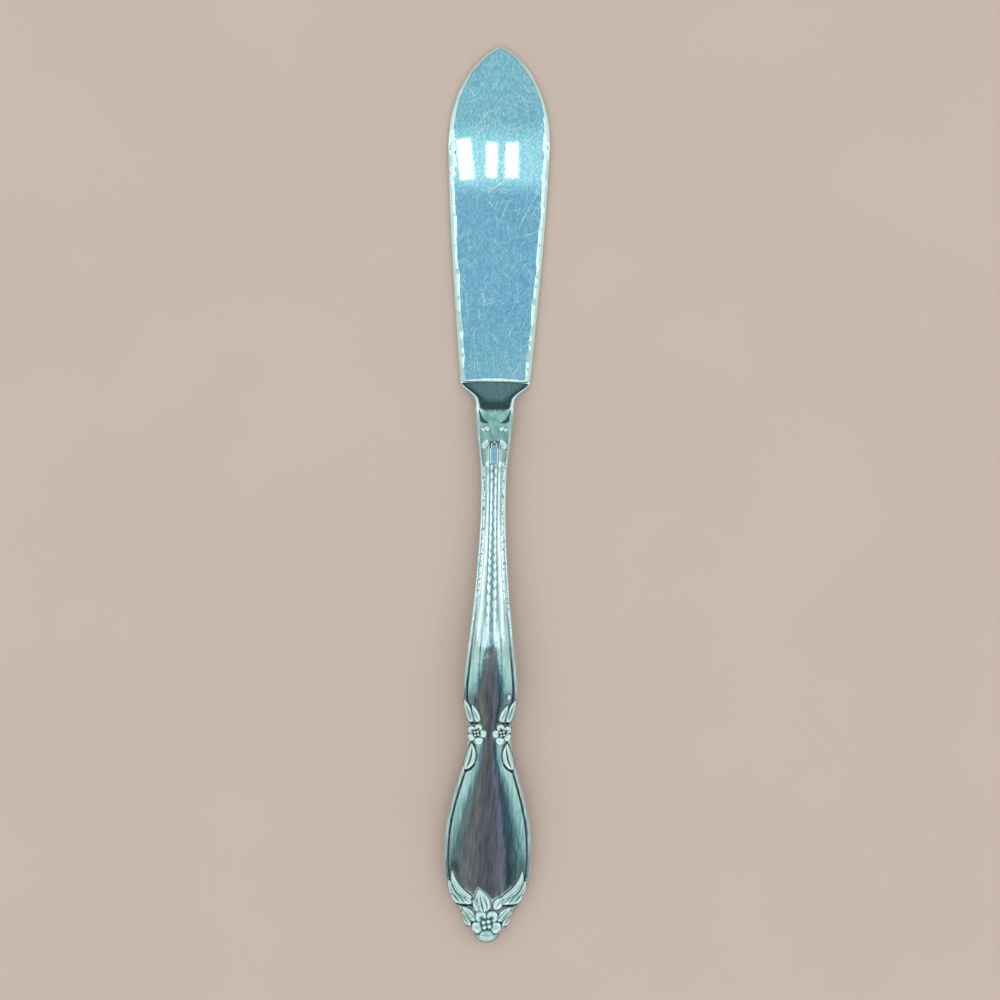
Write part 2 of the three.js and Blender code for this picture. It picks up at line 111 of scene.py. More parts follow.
# Across the shaft, as shares of its half width: the reed, the groove beside it, the ridge and the channel
REED_HALF = 0.25
REED_ROUND = 0.055
REED_GROOVE_AT = 0.285
REED_GROOVE_HALF = 0.035
REED_GROOVE_DEPTH = 0.12
RIDGE_AT = 0.41
RIDGE_HALF = 0.1
RIDGE_HEIGHT = 0.07
RIDGE_LINE_AT = 0.545
RIDGE_LINE_HALF = 0.03
CHANNEL_AT = 0.7
CHANNEL_HALF = 0.12
CHANNEL_DEPTH = 0.12
CHANNEL_LINE_HALF = 0.06
# Toward the panel these places move outward, by a share at the most
SPREAD_FROM = 82.0
SPREAD_TO = 56.0
SPREAD_MOST = 0.11

# The chain along the reed: two strings of long beads, half a pitch apart, whose pitch drifts a little
CHAIN_PITCH = 1.77
CHAIN_DRIFT = 1.1
CHAIN_DRIFT_LENGTH = 19.0
CHAIN_STRING_AT = 0.38
BEAD_HALF = 0.36
BEAD_PINCH = 0.15
BEAD_FULL_FROM = 0.8
BEAD_RISE = 0.018
BEAD_FOOT = 0.3
CHAIN_SPREAD = 0.5
BEAD_SPREAD = 0.25
CHAIN_CUT_SHADE = 0.6
CHAIN_START = 58.0
CHAIN_START_FADE = 6.0
CHAIN_PLAIN_END = 4.6
CHAIN_END_FADE = 1.0

# How dark the painted shade in the grooves of the face is, 0 to 1
REED_GROOVE_SHADE = 0.6
RIDGE_LINE_SHADE = 0.5
CHANNEL_SHADE = 0.6
REED_END_SHADE = 0.5
PANEL_GROOVE_SHADE = 0.5
PANEL_GROOVE_POWER = 0.6

# The soft-polished tongue, whose pale mint colour is partly a painted reflection: its start before the reed's
# end, its stop before the mouth, and its fading sides
SATIN_START = 0.2
SATIN_FADE = 1.6
SATIN_STOP = 0.9
SATIN_SIDE_AT = 0.62
SATIN_SIDE_FADE = 0.3
SATIN_SIDE_LOSS = 0.85

# Ornament struck on the face
LEAF_RISE = 0.55
NECK_EDGE_FADE = 0.45
VEIN_DEPTH = 0.14
TRENCH_DEPTH = 0.05
TRENCH_WIDTH = 0.16
CREASE_DEPTH = 0.06
CREASE_REACH = 0.06
CREASE_LEAST = 0.02
BARE_UNDER = 0.1
ORNAMENT_FULL = 0.15
PETALS = 5
ROSETTE_FROM_WAIST = 0.5
ROSETTE_RADIUS = 1.9
ROSETTE_INSET = 1.8
FLOWER_AT = 3.95
FLOWER_RADIUS = 3.0
BUTT_FLOWER_RADIUS = 2.7
BUTT_GROUND_AT = 7.2
BUTT_GROUND_FADE = 2.0
BUTT_GROUND_SINK = 0.2
CREVICE_DEPTH = 0.14
CREVICE_CELLS = 4
BUTT_LEAF_AT = 4.6
BUTT_LEAF_SPREAD = 9.4
BUTT_LEAF_REACH = 2.4
BUTT_ROUND = 2.0

# Which petals are the lowest and the upper ones, by how far they point up, -1 to 1
LOWEST_UNDER = -0.9
UPPER_OVER = 0.3
# Petals, stamens and eye, as shares of a flower's radius
LOWEST_PETAL = 1.15
PETAL_AT = 0.64
PETAL_REACH = 0.38
PETAL_SPREAD = 0.4
CUP_AT = 0.52
CUP_REACH = 0.2
EYE_RADIUS = 0.42
STAMEN_RING = 0.235
STAMEN_RADIUS = 0.145
# Heights in a flower: petals and their cups as shares of a leaf's rise, the stamens in millimetres
PETAL_RISE = 1.25
PETAL_ROUND_POWER = 0.7
UPPER_CUP = 0.75
LOWER_CUP = 0.12
EYE_SINK = 0.85
STAMENS = 4
STAMEN_TURN = 0.2
STAMEN_LIFT = 0.16

# How dark the painted shade in the ornament's hollows is, 0 to 1
CREVICE_SHADE = 0.95
BARE_CREVICE_SHADE = 0.45
TRENCH_SHADE = 0.6
VEIN_SHADE = 0.4
CREASE_SHADE = 0.3
GROUND_SHADE = 0.4

# The inside of the handle
WALL = 0.6
SEAM = 0.12
BUTT_SOLID = 8.5
BUTT_SOLID_SHARE = 0.6
CAVITY_NOSE = 5.0
NOSE_ROUND_SHARE = 0.8
CEMENT_BESIDE_TANG = 0.85
CEMENT_OVER_TANG = 0.55
TANG_LENGTH = 42.0
TANG_TIP_SHARE = 0.6
TANG_NOTCHES = 3
TANG_NOTCH_DEPTH = 0.25
TANG_NOTCH_LENGTH = 3.0
TANG_EDGE_SHARE = 0.1

SHOULDER_AT = HANDLE_LENGTH + NECK_LENGTH
OVERALL_LENGTH = SHOULDER_AT + BLADE_LENGTH
BLADE_WIDEST_AT = OVERALL_LENGTH - OGIVE_LENGTH
SHAFT_AT = HANDLE_LENGTH - SHAFT_FROM_MOUTH
REED_END_AT = HANDLE_LENGTH - REED_END_FROM_MOUTH
ROSETTE_AT = WAIST_AT + ROSETTE_FROM_WAIST
CHAIN_END_AT = REED_END_AT - CHAIN_PLAIN_END
TANG_WIDTH = SHAFT_WIDTH - 2 * (WALL + CEMENT_BESIDE_TANG)
TANG_HEIGHT = SHAFT_HEIGHT - 2 * (WALL + CEMENT_OVER_TANG)

# How the curves run: a skew under 1 brings a change early, a power over 2 squares a round off
NECK_SKEW = 1.3
TEARDROP_SKEW = 1.29
SHAFT_SKEW = 0.72
NECK_ROUND_POWER = 3.2
SHOULDER_ROUND_POWER = 5.0
TANG_ROUND_POWER = 6.0
PANEL_DOME_POWER = 2.2
BLADE_TAPER_POWER = 1.3
OGIVE_SWELL_POWER = 2.3
OGIVE_POINT_POWER = 0.72

# The bevel has two facets: how far across they meet, and the share of the drop down to there
BEVEL_BREAK = 0.55
BEVEL_LEAN = 0.32
BEVEL_BULGE = 0.38
BEVEL_BULGE_REACH = 4.6
BEVEL_BULGE_BEFORE_WIDEST = 1.4
BEVEL_WANDER = 0.24
# The waves of its wander, as turns in radians for each millimetre and sizes
WANDER_WAVES = [(0.55, 1.0), (1.21, 0.8), (2.3, 0.4), (3.9, 0.2)]
WANDER_STAGGER = 1.7
RIGHT_WANDER = 1.0
LEFT_WANDER = 2.6
# Toward the tip the whole bevel takes the pale ground colour, a painted highlight line round the tip, from
# this far past the widest place and over this length
TIP_HIGHLIGHT_FROM = 1.0
TIP_HIGHLIGHT_FADE = 5.0
TIP_HIGHLIGHT_LEAST = 0.3

# Long single scratches on the blade, each from (x, s) to (x, s)
LONG_SCRATCHES = [
    ((8.8, 159.3), (4.1, 155.3)),
    ((1.5, 148.9), (-2.3, 146.3)),
    ((9.0, 148.8), (4.3, 140.3)),
    ((-1.5, 163.0), (-5.0, 158.8)),
]
SCRATCH_HALF = 0.1

# The step between the scooped neck and the blade's face
STEP_BOW = 0.55
STEP_LENGTH = 0.78
STEP_PAST_SHOULDER = 0.38
STEP_POWER = 1.2
SCOOP_DIP = 0.32
SCOOP_BOW = 0.5
SCOOP_PAST_SHOULDER = 0.15
BACK_FLAT_BEFORE_SHOULDER = 1.5
BACK_FLAT_FADE = 2.0

# Leaves from base to tip, (x, s) at the right hand; the left hand mirrors them. At the waist from a rosette.
WAIST_LEAVES = [
    dict(base=(0.95, 2.2), tip=(2.45, 6.6), width=1.5, widest=0.35),
    dict(base=(-0.3, 2.35), tip=(0.98, 5.7), width=1.4, widest=0.3),
    dict(base=(2.05, -7.0), tip=(0.9, -1.9), width=2.0, bend=-0.46, cut=0.3),
]
# At the butt from the end of the knife
BUTT_LEAVES = [
    dict(base=(3.1, 3.6), tip=(4.75, 6.7), width=1.5, bend=0.3),
    dict(base=(2.2, 4.6), tip=(4.66, 7.45), width=1.75, veins=2),
    dict(base=(3.0, 9.1), tip=(6.75, 14.7), width=1.8, bend=1.3, widest=0.35, veins=3),
    dict(base=(4.3, 8.0), tip=(7.5, 12.7), width=1.9, bend=0.5, veins=2),
    dict(base=(4.9, 8.0), tip=(6.9, 11.3), width=1.6, bend=0.4),
    dict(base=(3.0, 8.1), tip=(5.0, 10.2), width=1.9, bend=0.2),
]
# Round the middle of the butt, not mirrored
CENTRE_LEAVES = [
    dict(base=(1.5, 7.0), tip=(3.1, 9.5), width=1.9),
    dict(base=(-1.3, 6.9), tip=(-2.8, 9.0), width=1.5),
    dict(base=(-0.6, 6.4), tip=(-1.64, 11.05), width=3.7, widest=0.3, point=1.05, veins=3, cut=0.2),
]
# One bud lies alone, above the leaves of the right hand
BUD = dict(base=(3.7, 47.9), tip=(3.65, 49.0), width=0.75, veins=0, trench=0.5, rise=0.35)
# By the neck from the end of the reeds
NECK_BEAD = dict(veins=0, trench=0, rise=0.32)
NECK_LEAVES = [
    dict(base=(2.2, -1.2), tip=(1.25, 0.7), width=1.25, **NECK_BEAD),
    dict(base=(0.95, 2.5), tip=(2.0, 3.0), width=0.95, **NECK_BEAD),
    dict(base=(1.8, 2.35), tip=(2.65, 2.75), width=0.75, **NECK_BEAD),
]
# Gaps between ornaments, sunk a little and painted dark as shade, by points (x, s, half width)
BUTT_GAPS = [
    [(5.7, 7.9, 0.3), (4.6, 7.6, 0.35), (2.9, 7.7, 0.3)],
    [(3.9, 3.3, 0.3), (2.75, 4.2, 0.3)],
    [(0.5, 6.9, 0.2), (0.9, 6.3, 0.25)],
]
WAIST_GAPS = [
    [(1.3, 2.0, 0.25), (0.5, 1.85, 0.3), (-0.25, 2.0, 0.2)],
    [(0.35, -6.0, 0.2), (1.0, -6.9, 0.25), (1.95, -7.5, 0.3)],
]
NECK_GAPS = [
    [(3.0, 6.2, 0.1), (2.75, 5.2, 0.2), (2.45, 4.3, 0.42), (1.9, 4.05, 0.32), (1.25, 3.85, 0.1)],
    [(0.3, 0.25, 0.15), (0.72, 0.1, 0.2), (0.72, -0.9, 0.1)],
]
# Two faint sunk lines, painted with shade, that close the tongue toward the reed
TONGUE_LINE = [(0.95, 3.1, 0.14), (0.8, 1.9, 0.16), (0.4, 0.6, 0.2)]
TONGUE_LINE_SHADE = 0.4
GAP_DEPTH = 0.12

# Fineness of the meshes. A run of sections is (start, step) and goes on to the start of the next run.
POINTS_ACROSS = 121
POINTS_INSIDE = 17
EDGE_CROWDING = 0.6
FINE_STEP = 0.092
BEAD_STEP = 0.22
PLAIN_STEP = 0.4
HANDLE_RUNS = [
    (0.02, 0.03),
    (0.6, FINE_STEP),
    (15.6, PLAIN_STEP),
    (32.6, FINE_STEP),
    (49.2, PLAIN_STEP),
    (CHAIN_START, BEAD_STEP),
    (94.5, FINE_STEP),
]
SEAM_RUNS = [(0.05, 0.05), (1.0, 0.3)]
BLADE_RUNS = [(HANDLE_LENGTH, 0.12), (SHOULDER_AT - 1.0, 0.04), (SHOULDER_AT + 1.0, 0.3)]
OGIVE_STATIONS = 61
OGIVE_CROWDING = 1.8
TANG_STATIONS = 57
# Edges over these angles, in degrees, are left sharp
LOFT_SHARP_ANGLE = 50.0
SEAM_SHARP_ANGLE = 40.0


# Curves along the knife


def mix(a, b, t):
    return a + (b - a) * t


def unit(t):
    """A value held between 0 and 1."""
    return np.clip(t, 0, 1)


def ease(t):
    t = unit(t)
    return t * t * (3 - 2 * t)


def swell(s, sa, a, sb, b, skew=1.0):
    """An S-curve from value a at place sa to value b at place sb."""
    return mix(a, b, ease(unit((s - sa) / (sb - sa)) ** skew))


def round_end(s, at, reach, half):
    """Half the width of a rounded end, widest at one place and closed at its reach to either side."""
    return half * np.sqrt(np.maximum(0, 1 - ((s - at) / reach) ** 2))


def through(s, before, values, skews):
    """Half the values at teardrop, waist, lobe, shaft and mouth, along S-curves, after what is before."""
    places = [TEARDROP_AT, WAIST_AT, LOBE_AT, SHAFT_AT, HANDLE_LENGTH]
    stops = list(zip(places, values))
    for (sa, a), (sb, b), skew in zip(stops, stops[1:], skews):
        before = np.where(s > sa, swell(s, sa, a, sb, b, skew) / 2, before)
    return before


def half_width(s):
    butt = np.maximum.reduce(
        [
            round_end(s, TEARDROP_AT, TEARDROP_END, TEARDROP_WIDTH / 2),
            round_end(s, BUTT_LEAF_AT, BUTT_LEAF_REACH, BUTT_LEAF_SPREAD / 2),
            round_end(s, BUTT_FLOWER_RADIUS, BUTT_FLOWER_RADIUS, BUTT_FLOWER_RADIUS),
        ]
    )
    widths = [TEARDROP_WIDTH, WAIST_WIDTH, LOBE_WIDTH, SHAFT_WIDTH, NECK_WIDTH]
    return through(s, butt, widths, [TEARDROP_SKEW, 1.0, SHAFT_SKEW, NECK_SKEW])


def full_crown(s):
    """Half the thickness of the handle, before its end is rounded off."""
    butt = swell(s, 0, BUTT_HEIGHT, TEARDROP_AT, TEARDROP_HEIGHT) / 2
    heights = [TEARDROP_HEIGHT, WAIST_HEIGHT, LOBE_HEIGHT, SHAFT_HEIGHT, NECK_HEIGHT]
    return through(s, butt, heights, [1.0, 1.0, 1.0, 1.0])


def crown(s):
    return full_crown(s) * np.sqrt(1 - (1 - unit(s / BUTT_ROUND)) ** 2)


def underside(s):
    """Height of the handle's back above the table."""
    return np.where(
        s > ARCH_AT,
        swell(s, ARCH_AT, ARCH_RISE, HANDLE_LENGTH, NECK_LIFT),
        swell(s, BUTT_LEAF_AT, BUTT_LIFT, ARCH_AT, ARCH_RISE),
    )


def seam_height(s):
    return underside(s) + full_crown(s)


# The struck face


def struck(s):
    """1 where the face has its border and panel, 0 on the plain end by the neck."""
    return 1 - ease((s - REED_END_AT) / REED_END_FADE)


def reeded(s):
    """1 on the reeded shaft, 0 where the panel fills the face."""
    return ease((s - PANEL_FULL_AT) / (PANEL_NARROW_AT - PANEL_FULL_AT))


def smoothed(s):
    """1 on the smooth tongue and the end of the reed, 0 on the rest of the face."""
    return ease((s - CHAIN_END_AT) / CHAIN_END_FADE)


def chained(s):
    """1 where the reed carries its chain of beads, 0 on its plain ends."""
    return ease((s - CHAIN_START) / CHAIN_START_FADE) * (1 - smoothed(s))


def beads(s, x):
    """How high a point lies on the two strings of beads along the reed: 0 beside them, 1 on their tops."""
    turn = math.pi * s / CHAIN_PITCH + CHAIN_DRIFT * np.sin(2 * math.pi * s / CHAIN_DRIFT_LENGTH)
    tops = np.zeros_like(x)
    for at, phase in ((CHAIN_STRING_AT, 0.0), (-CHAIN_STRING_AT, math.pi / 2)):
        swelling = unit(np.abs(np.sin(turn + phase)) / BEAD_FULL_FROM)
        half = mix(BEAD_PINCH, BEAD_HALF, swelling) * (1 + BEAD_SPREAD * spreading(s))
        middle = at * (1 + CHAIN_SPREAD * spreading(s))
        dome = unit(1 - ((x - middle) / half) ** 2)
        tops = np.maximum(tops, dome * half / BEAD_HALF)
    return tops


def satin(s, share):
    """1 on the soft-polished tongue between reed and mouth, painted in part as a reflection; 0 toward its
    sides and at the mouth.
    """
    begun = ease((s - REED_END_AT + SATIN_START) / SATIN_FADE)
    ended = ease((s - HANDLE_LENGTH + SATIN_STOP) / SATIN_STOP)
    return begun * (1 - ended) * (1 - SATIN_SIDE_LOSS * ease((share - SATIN_SIDE_AT) / SATIN_SIDE_FADE))


def mouth_share(s):
    """0 up to the rounding of the mouth, 1 at the mouth itself."""
    return unit((s - HANDLE_LENGTH + MOUTH_ROUND) / MOUTH_ROUND) ** 2


def ornament_ground(s):
    """1 on the sunk ground under the leaves and flower of the butt, 0 above them."""
    return 1 - ease((s - BUTT_GROUND_AT) / BUTT_GROUND_FADE)


def border_width(s):
    return np.minimum(BORDER_WIDTH, BORDER_MOST_SHARE * half_width(s))


def band_outside(s):
    return half_width(s) - border_width(s)


def panel_half(s):
    return band_outside(s) - np.minimum(GROOVE_WIDTH, GROOVE_MOST_SHARE * half_width(s))


def plain_arc(share, power=NECK_ROUND_POWER):
    """Share of the full height at a share of the half width, on a plain rounded section."""
    return (1 - unit(share) ** power) ** (1 / power)


def groove_share(s, across):
    """How deep a point lies in the groove between border and panel, 0 to 1."""
    inward = unit((band_outside(s) - across) / (band_outside(s) - panel_half(s)))
    return np.sin(np.pi * inward) ** 2


def hump(place, at, half):
    """1 at a place, falling softly to 0 on both sides."""
    return np.exp(-(((place - at) / half) ** 2))


def border_height(s):
    drop_share = BORDER_DROP_SHARE + WAIST_DROP_SHARE * hump(s, WAIST_AT, WAIST_DROP_REACH)
    return crown(s) - np.minimum(drop_share * half_width(s), BORDER_DROP_MOST * crown(s))


def domed_height(s, share):
    """Height of a dome that falls to the border's height at a share of 1."""
    return mix(crown(s), border_height(s), unit(share) ** PANEL_DOME_POWER)


def panel_height(s, across):
    """Height above the seam of border, groove and domed panel."""
    outward = unit((across - band_outside(s)) / border_width(s))
    dome = domed_height(s, across / panel_half(s))
    return dome - BORDER_FALL * outward - GROOVE_DEPTH * groove_share(s, across)


def spreading(s):
    """0 on the upper shaft, 1 where its reeds have spread toward the panel."""
    return ease((SPREAD_FROM - s) / (SPREAD_FROM - SPREAD_TO))


def shaft_share(s, across):
    """Share of the half width at which a point would lie had the reeds not spread."""
    share = across / half_width(s)
    return share - SPREAD_MOST * spreading(s) * unit(share / RIDGE_AT)


def reed_height(s, across):
    """Height above the seam of the channels, ridges and middle reed of the shaft."""
    share = shaft_share(s, across)
    on_reed = share < REED_HALF
    flat = REED_END_FLAT * smoothed(s) * on_reed
    base = mix(crown(s), border_height(s), (across / half_width(s)) ** 2 * (1 - flat))
    groove = REED_GROOVE_DEPTH * hump(share, REED_GROOVE_AT, REED_GROOVE_HALF)
    ridge = RIDGE_HEIGHT * hump(share, RIDGE_AT, RIDGE_HALF)
    channel = CHANNEL_DEPTH * hump(share, CHANNEL_AT, CHANNEL_HALF)
    slope_at = REED_END_AT - REED_SLOPE_FROM
    sinking = unit((s - slope_at) / (REED_SLOPE_FROM - REED_SLOPE_TO))
    reed_end = REED_END_SINK * sinking * on_reed
    rounding = REED_ROUND * chained(s) * unit(1 - (share / REED_HALF) ** 2)
    return base + ridge + rounding - groove - channel - reed_end


def pressed_height(s, across):
    """Height above the seam of all that the die presses into the face, without its ornament."""
    return mix(panel_height(s, across), reed_height(s, across), reeded(s))


def groove_recess(s, across):
    """How much painted shade a point gets in the grooves and lines beside the panel or the reed, 0 to 1."""
    share = shaft_share(s, across)
    lines = np.maximum.reduce(
        [
            REED_GROOVE_SHADE * hump(share, REED_GROOVE_AT, REED_GROOVE_HALF),
            RIDGE_LINE_SHADE * hump(share, RIDGE_LINE_AT, RIDGE_LINE_HALF),
            CHANNEL_SHADE * spreading(s) * hump(share, CHANNEL_AT, CHANNEL_LINE_HALF),
            REED_END_SHADE * smoothed(s) * hump(share, CHANNEL_AT, CHANNEL_HALF),
        ]
    )
    round_panel = PANEL_GROOVE_SHADE * groove_share(s, across) ** PANEL_GROOVE_POWER
    grooves = mix(round_panel, lines, reeded(s))
    return struck(s) * (1 - ornament_ground(s)) * grooves


# Ornament


class Relief:
    """Ornament on a face: its height in millimetres, and how much painted shade each point gets in a recess
    beside it.
    """

    def __init__(self, x, s):
        self.x, self.s = x, s
        self.height = self.second = self.trench = self.vein = self.gaps = np.zeros_like(x)

    def add(self, height, outside, vein=0.0, trench=1.0):
        self.vein = np.where(height > self.height, vein, self.vein)
        self.second = np.maximum(self.second, np.minimum(self.height, height))
        self.height = np.maximum(self.height, height)
        self.trench = np.maximum(self.trench, trench * hump(outside, 0, TRENCH_WIDTH))

    def leaf(self, base, tip, width, bend=0.0, widest=0.42, point=0.85, veins=1, cut=VEIN_DEPTH,
             trench=1.0, rise=LEAF_RISE):
        """A pointed leaf from base to tip, bowed sideways by bend, with lengthwise veins."""
        along_x, along_s = tip[0] - base[0], tip[1] - base[1]
        length = math.hypot(along_x, along_s)
        off_x, off_s = self.x - base[0], self.s - base[1]
        u = (off_x * along_x + off_s * along_s) / length**2
        v = (off_x * along_s - off_s * along_x) / length
        inner = unit(u)
        v = v - bend * 4 * inner * (1 - inner)
        base_power = point * widest / (1 - widest)
        peak = widest**base_power * (1 - widest) ** point
        outline = inner**base_power * (1 - inner) ** point / peak
        half = np.maximum(width / 2 * outline, 1e-4)
        share = np.abs(v) / half
        inside = (u > 0) & (u < 1) & (share < 1)
        round_top = np.sqrt(unit(1 - share**2)) * (0.5 + 0.5 * np.sqrt(outline))
        lines = 0.5 + 0.5 * np.cos(math.pi * (veins + 1) * (v / half + (veins + 1) % 2))
        vein = inside * lines**4 * (share < 0.85) * (veins > 0) * np.sqrt(outline)
        height = np.where(inside, (rise - cut * vein) * round_top, 0)
        past_end = np.abs(u - inner) * length
        outside = np.hypot(past_end, np.maximum(np.abs(v) - half, 0))
        self.add(height, outside, vein, trench)

    def bead(self, x, s, radius, lift):
        """A round bead standing on other ornament."""
        off = np.hypot(self.x - x, self.s - s)
        cap = np.sqrt(unit(1 - (off / radius) ** 2))
        self.add(np.where(off < radius, lift + radius * cap, 0), np.maximum(off - radius, 0))

    def flower(self, x, s, radius, first):
        """Cupped petals round a ring of stamens; first is the turn of one petal from straight down."""
        for i in range(PETALS):
            turn = first + 2 * math.pi * i / PETALS
            toward = (math.sin(turn), -math.cos(turn))
            length = radius * (LOWEST_PETAL if toward[1] < LOWEST_UNDER else 1.0)
            self.petal((x, s), toward, length, UPPER_CUP if toward[1] > UPPER_OVER else LOWER_CUP)
        off = np.hypot(self.x - x, self.s - s) / radius
        self.height = self.height * (1 - EYE_SINK * np.exp(-((off / EYE_RADIUS) ** 6)))
        for i in range(STAMENS):
            turn = first + STAMEN_TURN + 2 * math.pi * (i + 0.5) / STAMENS
            ring = STAMEN_RING * radius
            at = (x + ring * math.sin(turn), s - ring * math.cos(turn))
            self.bead(*at, STAMEN_RADIUS * radius, STAMEN_LIFT)

    def petal(self, middle, toward, radius, depth):
        off_x, off_s = self.x - middle[0], self.s - middle[1]
        out = (off_x * toward[0] + off_s * toward[1]) / radius
        side = (off_x * toward[1] - off_s * toward[0]) / radius
        off = np.hypot((out - PETAL_AT) / PETAL_REACH, side / PETAL_SPREAD)
        inside = off < 1
        rim = np.sqrt(unit(1 - off**2))
        cup = depth * hump(out, CUP_AT, CUP_REACH) * hump(side, 0, CUP_REACH)
        height = np.where(inside, LEAF_RISE * (PETAL_RISE * rim**PETAL_ROUND_POWER - cup), 0)
        self.add(np.maximum(height, 0), np.maximum(off - 1, 0) * PETAL_SPREAD * radius, inside * cup)

    def gap(self, points, shade=1.0):
        """A recess along a run of points, sunk a little and painted with shade."""
        for a, b in zip(points, points[1:]):
            way = np.array([b[0] - a[0], b[1] - a[1]])
            off_x, off_s = self.x - a[0], self.s - a[1]
            t = unit((off_x * way[0] + off_s * way[1]) / (way @ way))
            off = np.hypot(off_x - t * way[0], off_s - t * way[1])
            self.gaps = np.maximum(self.gaps, shade * np.exp(-((off / mix(a[2], b[2], t)) ** 4)))

    def finished(self):
        """(height, recess, ridge): ornament less its trenches, painted shade by how deep in a hollow, painted
        highlight by how far up a ridge.
        """
        crease = hump(self.height, self.second, CREASE_REACH) * (self.second > CREASE_LEAST)
        bare = hump(self.height, 0, BARE_UNDER)
        sunk = np.maximum(TRENCH_DEPTH * self.trench, GAP_DEPTH * self.gaps)
        height = self.height - sunk * bare - CREASE_DEPTH * crease
        below = (blurred(height, CREVICE_CELLS) - height) / CREVICE_DEPTH
        crevice = unit(below) * mix(CREVICE_SHADE, BARE_CREVICE_SHADE, bare)
        beside = np.maximum(self.gaps, TRENCH_SHADE * np.sqrt(self.trench)) * bare
        lines = VEIN_SHADE * self.vein + CREASE_SHADE * crease
        recess = unit(np.maximum(crevice, beside) + lines)
        return height, recess, unit(-below)


def blurred(field, cells):
    """A field of a grid averaged over so many cells to every side, twice."""
    for axis in (0, 1, 0, 1):
        size = 2 * cells + 1
        sides = [(0, 0), (0, 0)]
        sides[axis] = (cells + 1, cells)
        total = np.cumsum(np.pad(field, sides, mode="edge"), axis=axis)
        count = field.shape[axis]
        high = np.take(total, np.arange(size, size + count), axis)
        low = np.take(total, np.arange(count), axis)
        field = (high - low) / size
    return field


def moved(at, x, s, hand):
    """A point of ornament moved by (x, s), and mirrored to the left hand for -1."""
    return (hand * (x + at[0]), s + at[1], *at[2:])


def placed(leaf, x, s, hand):
    """A leaf's keywords, with its ends moved."""
    base, tip = [moved(leaf[end], x, s, hand) for end in ("base", "tip")]
    return {**leaf, "base": base, "tip": tip, "bend": hand * leaf.get("bend", 0.0)}


def ornament(x, s):
    """(height, recess, ridge) of the ornament struck on the face."""
    relief = Relief(x, s)
    rosette = WAIST_WIDTH / 2 - ROSETTE_INSET
    groups = [
        (rosette, ROSETTE_AT, WAIST_LEAVES, WAIST_GAPS),
        (0, 0, BUTT_LEAVES, BUTT_GAPS),
        (0, REED_END_AT, NECK_LEAVES, NECK_GAPS),
    ]
    for hand in (1, -1):
        for at_x, at_s, leaves, gaps in groups:
            for leaf in leaves:
                relief.leaf(**placed(leaf, at_x, at_s, hand))
            for gap in gaps:
                relief.gap([moved(at, at_x, at_s, hand) for at in gap])
        relief.gap([moved(at, 0, REED_END_AT, hand) for at in TONGUE_LINE], TONGUE_LINE_SHADE)
        relief.flower(hand * rosette, ROSETTE_AT, ROSETTE_RADIUS, -hand * math.pi / 2)
    for leaf in CENTRE_LEAVES:
        relief.leaf(**leaf)
    relief.leaf(**BUD)
    relief.flower(0, FLOWER_AT, FLOWER_RADIUS, 0)
    return relief.finished()


def face(s, x):
    """(height above the seam, marks) of the whole face, its edge rounded down to the seam."""
    across = np.abs(x)
    half = half_width(s)
    round_width = np.minimum(EDGE_ROUND, EDGE_MOST_SHARE * border_width(s))
    depth = unit((half - across) / round_width)
    rounding = np.sqrt(1 - (1 - depth) ** 2)
    raised, recess, ridge = ornament(x, s)
    beside_edge = unit((half - across) / NECK_EDGE_FADE)
    raised = raised * mix(beside_edge, 1, struck(s))
    plain = (crown(s) - MOUTH_FALL * mouth_share(s)) * plain_arc(across / half)
    ground = ornament_ground(s)
    on_ornament = unit(raised / ORNAMENT_FULL)
    pressed = mix(pressed_height(s, across), domed_height(s, across / half), on_ornament)
    pressed = mix(plain, pressed, struck(s))
    pressed = mix(pressed, plain - BUTT_GROUND_SINK, ground)
    rising = unit(crown(s) / full_crown(s))
    height = (pressed + raised * rising) * mix(1, rounding, struck(s))
    shade = np.maximum(recess, groove_recess(s, across) * (1 - on_ornament))
    shade = np.maximum(shade, GROUND_SHADE * ground * (1 - on_ornament))
    on_shaft = reeded(s) * struck(s) * (1 - on_ornament)
    share = shaft_share(s, across)
    on_reed = on_shaft * (share < REED_HALF) * chained(s)
    bead = beads(s, x)
    height = height + BEAD_RISE * bead * on_reed
    # Painted shade in the cut between the beads of the chain
    shade = np.maximum(shade, CHAIN_CUT_SHADE * (1 - ease(bead / BEAD_FOOT)) * on_reed)
    # The recess mark is painted shade, the ridge mark a painted highlight, and the tongue's satin mark partly
    # a painted reflection
    marks = {
        "recess": shade,
        "ornament": on_ornament,
        "ridge": ridge * on_ornament,
        "reed": on_reed,
        "channel": on_shaft * hump(share, CHANNEL_AT, CHANNEL_HALF),
        "smooth": smoothed(s),
        "satin": satin(s, across / half) * (1 - on_ornament),
        "shaft": on_shaft,
    }
    return np.maximum(height, SEAM / 2), marks


# Meshes


def in_frame(places):
    """Points (x, s, z) in millimetres as metres in the frame."""
    moved = places.reshape(-1, 3) - np.array([0, OVERALL_LENGTH / 2, 0])
    return moved * MM


def points(x, s, z):
    return np.stack(np.broadcast_arrays(x, s, z), axis=-1)


def new_object(name, data):
    made = bpy.data.objects.new(name, data)
    bpy.context.scene.collection.objects.link(made)
    return made


def new_piece(name, places, faces, sharp_angle):
    """An object of places in metres, smooth but for edges over an angle in degrees."""
    mesh = bpy.data.meshes.new(name)
    mesh.from_pydata(places, [], faces)
    mesh.shade_smooth()
    mesh.set_sharp_from_angle(angle=math.radians(sharp_angle))
    return new_object(name, mesh)


